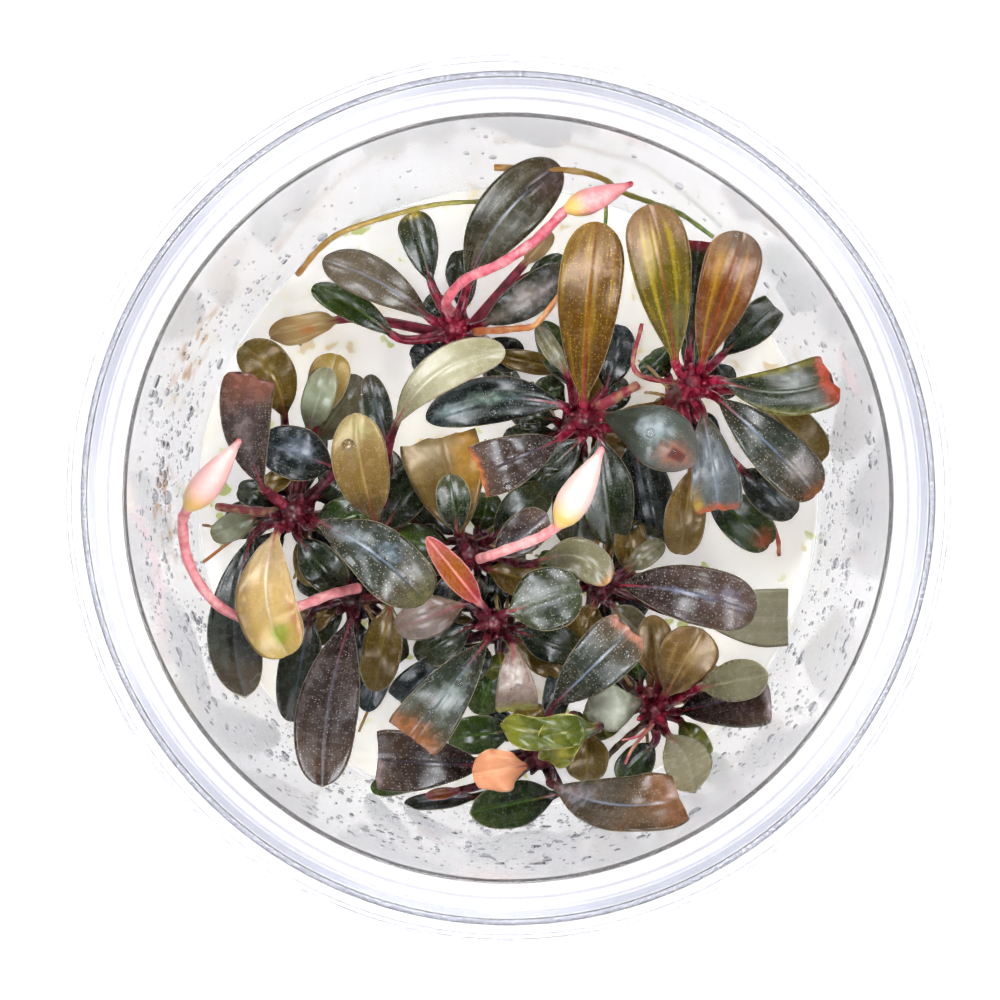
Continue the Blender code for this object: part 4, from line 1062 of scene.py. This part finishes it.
def build_roots(finish, chance):
    """Thin roots that lean from the rhizomes into the gel."""
    parts = []
    for stem in STEMS:
        foot, knee = seen(*stem.points[0]), seen(*stem.points[1])
        for _ in range(ROOTS_PER_STEM):
            out = outward(chance.uniform(0, 2 * pi))
            start = foot.lerp(knee, chance.uniform(0.1, 0.9)) + out * stem.radius * 0.6
            reach = chance.uniform(2.5, 7.0)
            bend = start + out * reach * 0.6 + Vector((0, 0, chance.uniform(-0.5, 1.5)))
            end = start + out * reach
            end.z = GEL_TOP - 0.3
            parts.append(tube([start, bend, end], ROOT_RADII, ROOT_SIDES))
    mesh_piece("roots", *joined(parts), finish, "rhizome")


# Water

def dome(centre, normal, hint, radius, height, longer=1.0):
    """A drop: a closed dome that lies on a surface."""
    side = hint.cross(normal).normalized()
    over = normal.cross(side)
    points = [centre - normal * 0.05]
    for reach, rise in DROP_OUTLINE:
        for k in range(DROP_SIDES):
            angle = 2 * pi * k / DROP_SIDES
            flat = side * cos(angle) * longer + over * sin(angle)
            points.append(centre + flat * radius * reach + normal * height * rise)
    points.append(centre + normal * height)
    faces = []
    for k in range(DROP_SIDES):
        after = (k + 1) % DROP_SIDES
        faces.append((0, 1 + after, 1 + k))
        for ring in (1, 1 + DROP_SIDES):
            faces.append((ring + k, ring + after, ring + DROP_SIDES + after, ring + DROP_SIDES + k))
        last = 1 + 2 * DROP_SIDES
        faces.append((last + k, last + after, len(points) - 1))
    return points, faces


def wall_dampness(angle, z):
    """How likely a drop is at a place of the wall: the top of the photograph is nearly dry."""
    damp = DAMP_TRACE
    for direction, spread, strength in DAMP_SIDES:
        turn = (angle - direction + 180) % 360 - 180
        damp = max(damp, strength * exp(-((turn / spread) ** 2)))
    return damp * (smooth(GEL_TOP + 1, 17, z) * smooth(53, 44, z))


def build_wall_drops(chance):
    """Condensation inside the wall, tinted grey as painted shade."""
    parts = []
    least, mean_more, most = WALL_DROP_RADII
    while len(parts) < WALL_DROPS:
        angle, z = chance.uniform(0, 360), chance.uniform(*WALL_DROP_HEIGHTS)
        patchy = 0.5 + 0.9 * noise.noise(Vector((angle * 0.09, z * 0.16, 0)))
        if chance.random() > wall_dampness(angle, z) * patchy:
            continue
        out = outward(radians(angle))
        radius = min(least + chance.expovariate(1 / mean_more), most)
        where = out * wall_radius(z) + Vector((0, 0, z))
        high = radius * chance.uniform(0.5, 0.85)
        parts.append(dome(where, -out, Vector((0, 0, 1)), radius, high, chance.uniform(0.8, 1.5)))
    # The grey in the wall drops is painted shade, for the dark edges that real drops show by refraction
    mesh_piece("wall_drops", *joined(parts), water_material("wall drops", "#a8a8ae", "#d8d8dc"), "cup")


def build_leaf_drops(leaves, chance):
    """Drops where a line of sight from above first meets a leaf."""
    skins = []
    for leaf in leaves:
        mesh = leaf.data
        skins.append(([v.co / MM for v in mesh.vertices], [tuple(f.vertices) for f in mesh.polygons]))
    surface = BVHTree.FromPolygons(*joined(skins))
    eye = Vector((0, 0, CUP_HEIGHT + EYE_ABOVE_RIM))
    reach = FINE_LEAF_DROP_REACH
    places = list(DROPS)
    for _ in range(FINE_LEAF_DROPS):
        x, y = chance.uniform(-reach, reach), chance.uniform(-reach, reach)
        places.append((x, y, chance.uniform(*FINE_LEAF_DROP_RADII)))
    parts = []
    for x, y, radius in places:
        where, normal, _, _ = surface.ray_cast(eye, (Vector((x, y, CUP_HEIGHT)) - eye).normalized())
        if where is None or normal.z < LEAST_LEVEL:
            continue
        parts.append(dome(where, normal, Vector((0, 1, 0)), radius, radius * 0.75))
    mesh_piece("leaf_drops", *joined(parts), water_material("leaf drops", "#f4f6f6", "#ffffff"), "leaf_dark")


# Cup and gel

def rounded(profile, radius):
    """The profile with every corner between its ends replaced by a small arc."""
    made = [profile[0]]
    for before, corner, after in zip(profile, profile[1:], profile[2:]):
        c = Vector(corner)
        back, on = Vector(before) - c, Vector(after) - c
        size = min(radius, back.length * 0.45, on.length * 0.45)
        start, end = c + back.normalized() * size, c + on.normalized() * size
        for k in range(CORNER_STEPS + 1):
            t = k / CORNER_STEPS
            p = start.lerp(c, t).lerp(c.lerp(end, t), t)
            made.append((p.x, p.y))
    made.append(profile[-1])
    return made


def turned(name, profile, finish, slot):
    """A piece turned from its profile, which starts and ends on the axis."""
    rings = profile[1:-1]
    count = len(rings)
    points = [(0.0, 0.0, profile[0][1]), (0.0, 0.0, profile[-1][1])]
    for k in range(CUP_SIDES):
        angle = 2 * pi * k / CUP_SIDES
        points += [(r * cos(angle), r * sin(angle), z) for r, z in rings]
    faces = []
    for k in range(CUP_SIDES):
        here = 2 + k * count
        there = 2 + (k + 1) % CUP_SIDES * count
        faces.append((0, there, here))
        faces.append((1, here + count - 1, there + count - 1))
        faces += [(here + i, there + i, there + i + 1, here + i + 1) for i in range(count - 1)]
    return mesh_piece(name, points, faces, finish, slot)


def cup_profile():
    """Radius and height along the cup's underside and outside, over its rim and down its inside."""
    foot = FLOOR_INNER_RADIUS + WALL
    under_ledge = LEDGE_TOP - RIM_WALL
    under_rim = CUP_HEIGHT - RIM_WALL
    lip_inside = RIM_RADIUS - RIM_WALL
    lip_bottom = CUP_HEIGHT - LIP_DEPTH
    step_start, step_bend, step_end = STEP_UNDER
    step_top, step_foot = STEP_OVER
    raised_end, ledge_start = RAISED_LEDGE
    return [
        (0.0, 1.0), (foot - 4.0, 1.0), (foot - 3.2, 0.0), (foot - 0.9, 0.0), (foot - 0.1, 0.7),
        (LEDGE_INNER_RADIUS + WALL - 0.1, under_ledge), (step_start, under_ledge),
        (step_bend, under_ledge + 0.4), (step_end, under_rim), (lip_inside, under_rim),
        (lip_inside, lip_bottom), (RIM_RADIUS, lip_bottom), (RIM_RADIUS, CUP_HEIGHT - 0.5),
        (RIM_RADIUS - 0.5, CUP_HEIGHT), (step_top, CUP_HEIGHT), (step_foot, LEDGE_TOP),
        (raised_end, LEDGE_TOP), (ledge_start, LEDGE_TOP - 0.2),
        (LEDGE_INNER_RADIUS + 0.3, LEDGE_TOP - 0.2), (LEDGE_INNER_RADIUS, LEDGE_TOP - 0.6),
        (FLOOR_INNER_RADIUS + 0.1, FLOOR_TOP + 0.9), (FLOOR_INNER_RADIUS - 1.0, FLOOR_TOP), (0.0, FLOOR_TOP),
    ]


def gel_profile():
    """Radius and height along the gel's underside and side and back over its top."""
    bottom = FLOOR_TOP + 0.05
    wall = wall_radius(GEL_TOP)
    return [
        (0.0, bottom), (FLOOR_INNER_RADIUS - 1.4, bottom), (wall_radius(bottom + 1.2) - 0.08, bottom + 1.2),
        (wall_radius(GEL_TOP + 0.8) - 0.08, GEL_TOP + 0.8), (wall - 1.2, GEL_TOP + 0.3),
        (wall - 2.6, GEL_TOP), (20.0, GEL_TOP - 0.1), (0.0, GEL_TOP),
    ]


# Stage

def build_stage():
    """The pale floor, the photograph's camera and the light of the room."""
    mesh = bpy.data.meshes.new("floor")
    corners = [(x * FLOOR_REACH, y * FLOOR_REACH, 0) for x, y in ((-1, -1), (1, -1), (1, 1), (-1, 1))]
    mesh.from_pydata(corners, [], [(0, 1, 2, 3)])
    n = material("pale floor")
    mesh.materials.append(n.surface(Base_Color=n.mix(n.noise(3.0), "#f7f7f7", "#fbfbfb"), Roughness=0.6))
    floor = placed("floor", mesh)

    camera = bpy.data.cameras.new("camera")
    camera.sensor_width = SENSOR
    camera.lens = SENSOR * EYE_ABOVE_RIM / FRAME_WIDTH
    camera.shift_x = AXIS_LEFT_OF_MIDDLE
    camera.shift_y = AXIS_BELOW_MIDDLE
    camera.clip_start = 0.01
    eye = placed("camera", camera)
    eye.location = (0, 0, (CUP_HEIGHT + EYE_ABOVE_RIM) * MM)
    bpy.context.scene.camera = eye

    world = bpy.data.worlds.new("studio")
    bpy.context.scene.world = world
    n = Nodes(world)
    world.cycles.sampling_method = "NONE"  # light this soft and even is met often enough by chance
    x, y, up = n.split(n.place("Generated"))
    ring = n.times(n.span(up, *PANEL_FOOT), n.span(up, *PANEL_TOP))
    wave = n.math("SINE", n.math("MULTIPLY_ADD", n.math("ARCTAN2", y, x), PANELS, PANEL_TURN))
    panels = n.times(ring, n.span(wave, *PANEL_SIDE))
    low = n.math("MULTIPLY_ADD", n.span(up, *HORIZON_FADE), HORIZON_LIGHT, OVERHEAD_LIGHT)
    light = n.math("MULTIPLY_ADD", panels, PANEL_LIGHT, low)
    n.shade("Background", Strength=light, Color=(1.0, 0.995, 0.99, 1))
    bpy.context.scene.view_settings.view_transform = "Standard"


def main():
    chance = random.Random(SEED)
    build_stage()
    cup = turned("cup_skin", rounded(cup_profile(), 0.25), clear_plastic(), "cup")
    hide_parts("cup")
    gel = turned("gel_skin", rounded(gel_profile(), 0.6), gel_material(), "culture_gel")
    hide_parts("culture_gel")
    crimson = rhizome_material()
    for stem in STEMS:
        build_stem(stem, crimson)
        build_sheaths(stem, crimson, chance)
    stems = short_names()
    materials = {name: leaf_material(name, look) for name, look in LOOKS.items()}
    skins = []
    for leaf in LEAVES:
        skins.append(build_leaf(leaf, stems, materials, chance))
        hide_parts(leaf.name)
    for leaf in [*SMALL_LEAVES, *young_leaves(chance)]:
        skins.append(build_leaf(leaf, stems, materials, chance))
    pink = spathe_material()
    for spathe in SPATHES:
        build_spathe(spathe, pink)
    for thread in THREADS:
        build_thread(*thread)
    build_roots(thread_material("roots", "#b08c50", "#d8c89c"), chance)
    build_wall_drops(chance)
    build_leaf_drops(skins, chance)


main()
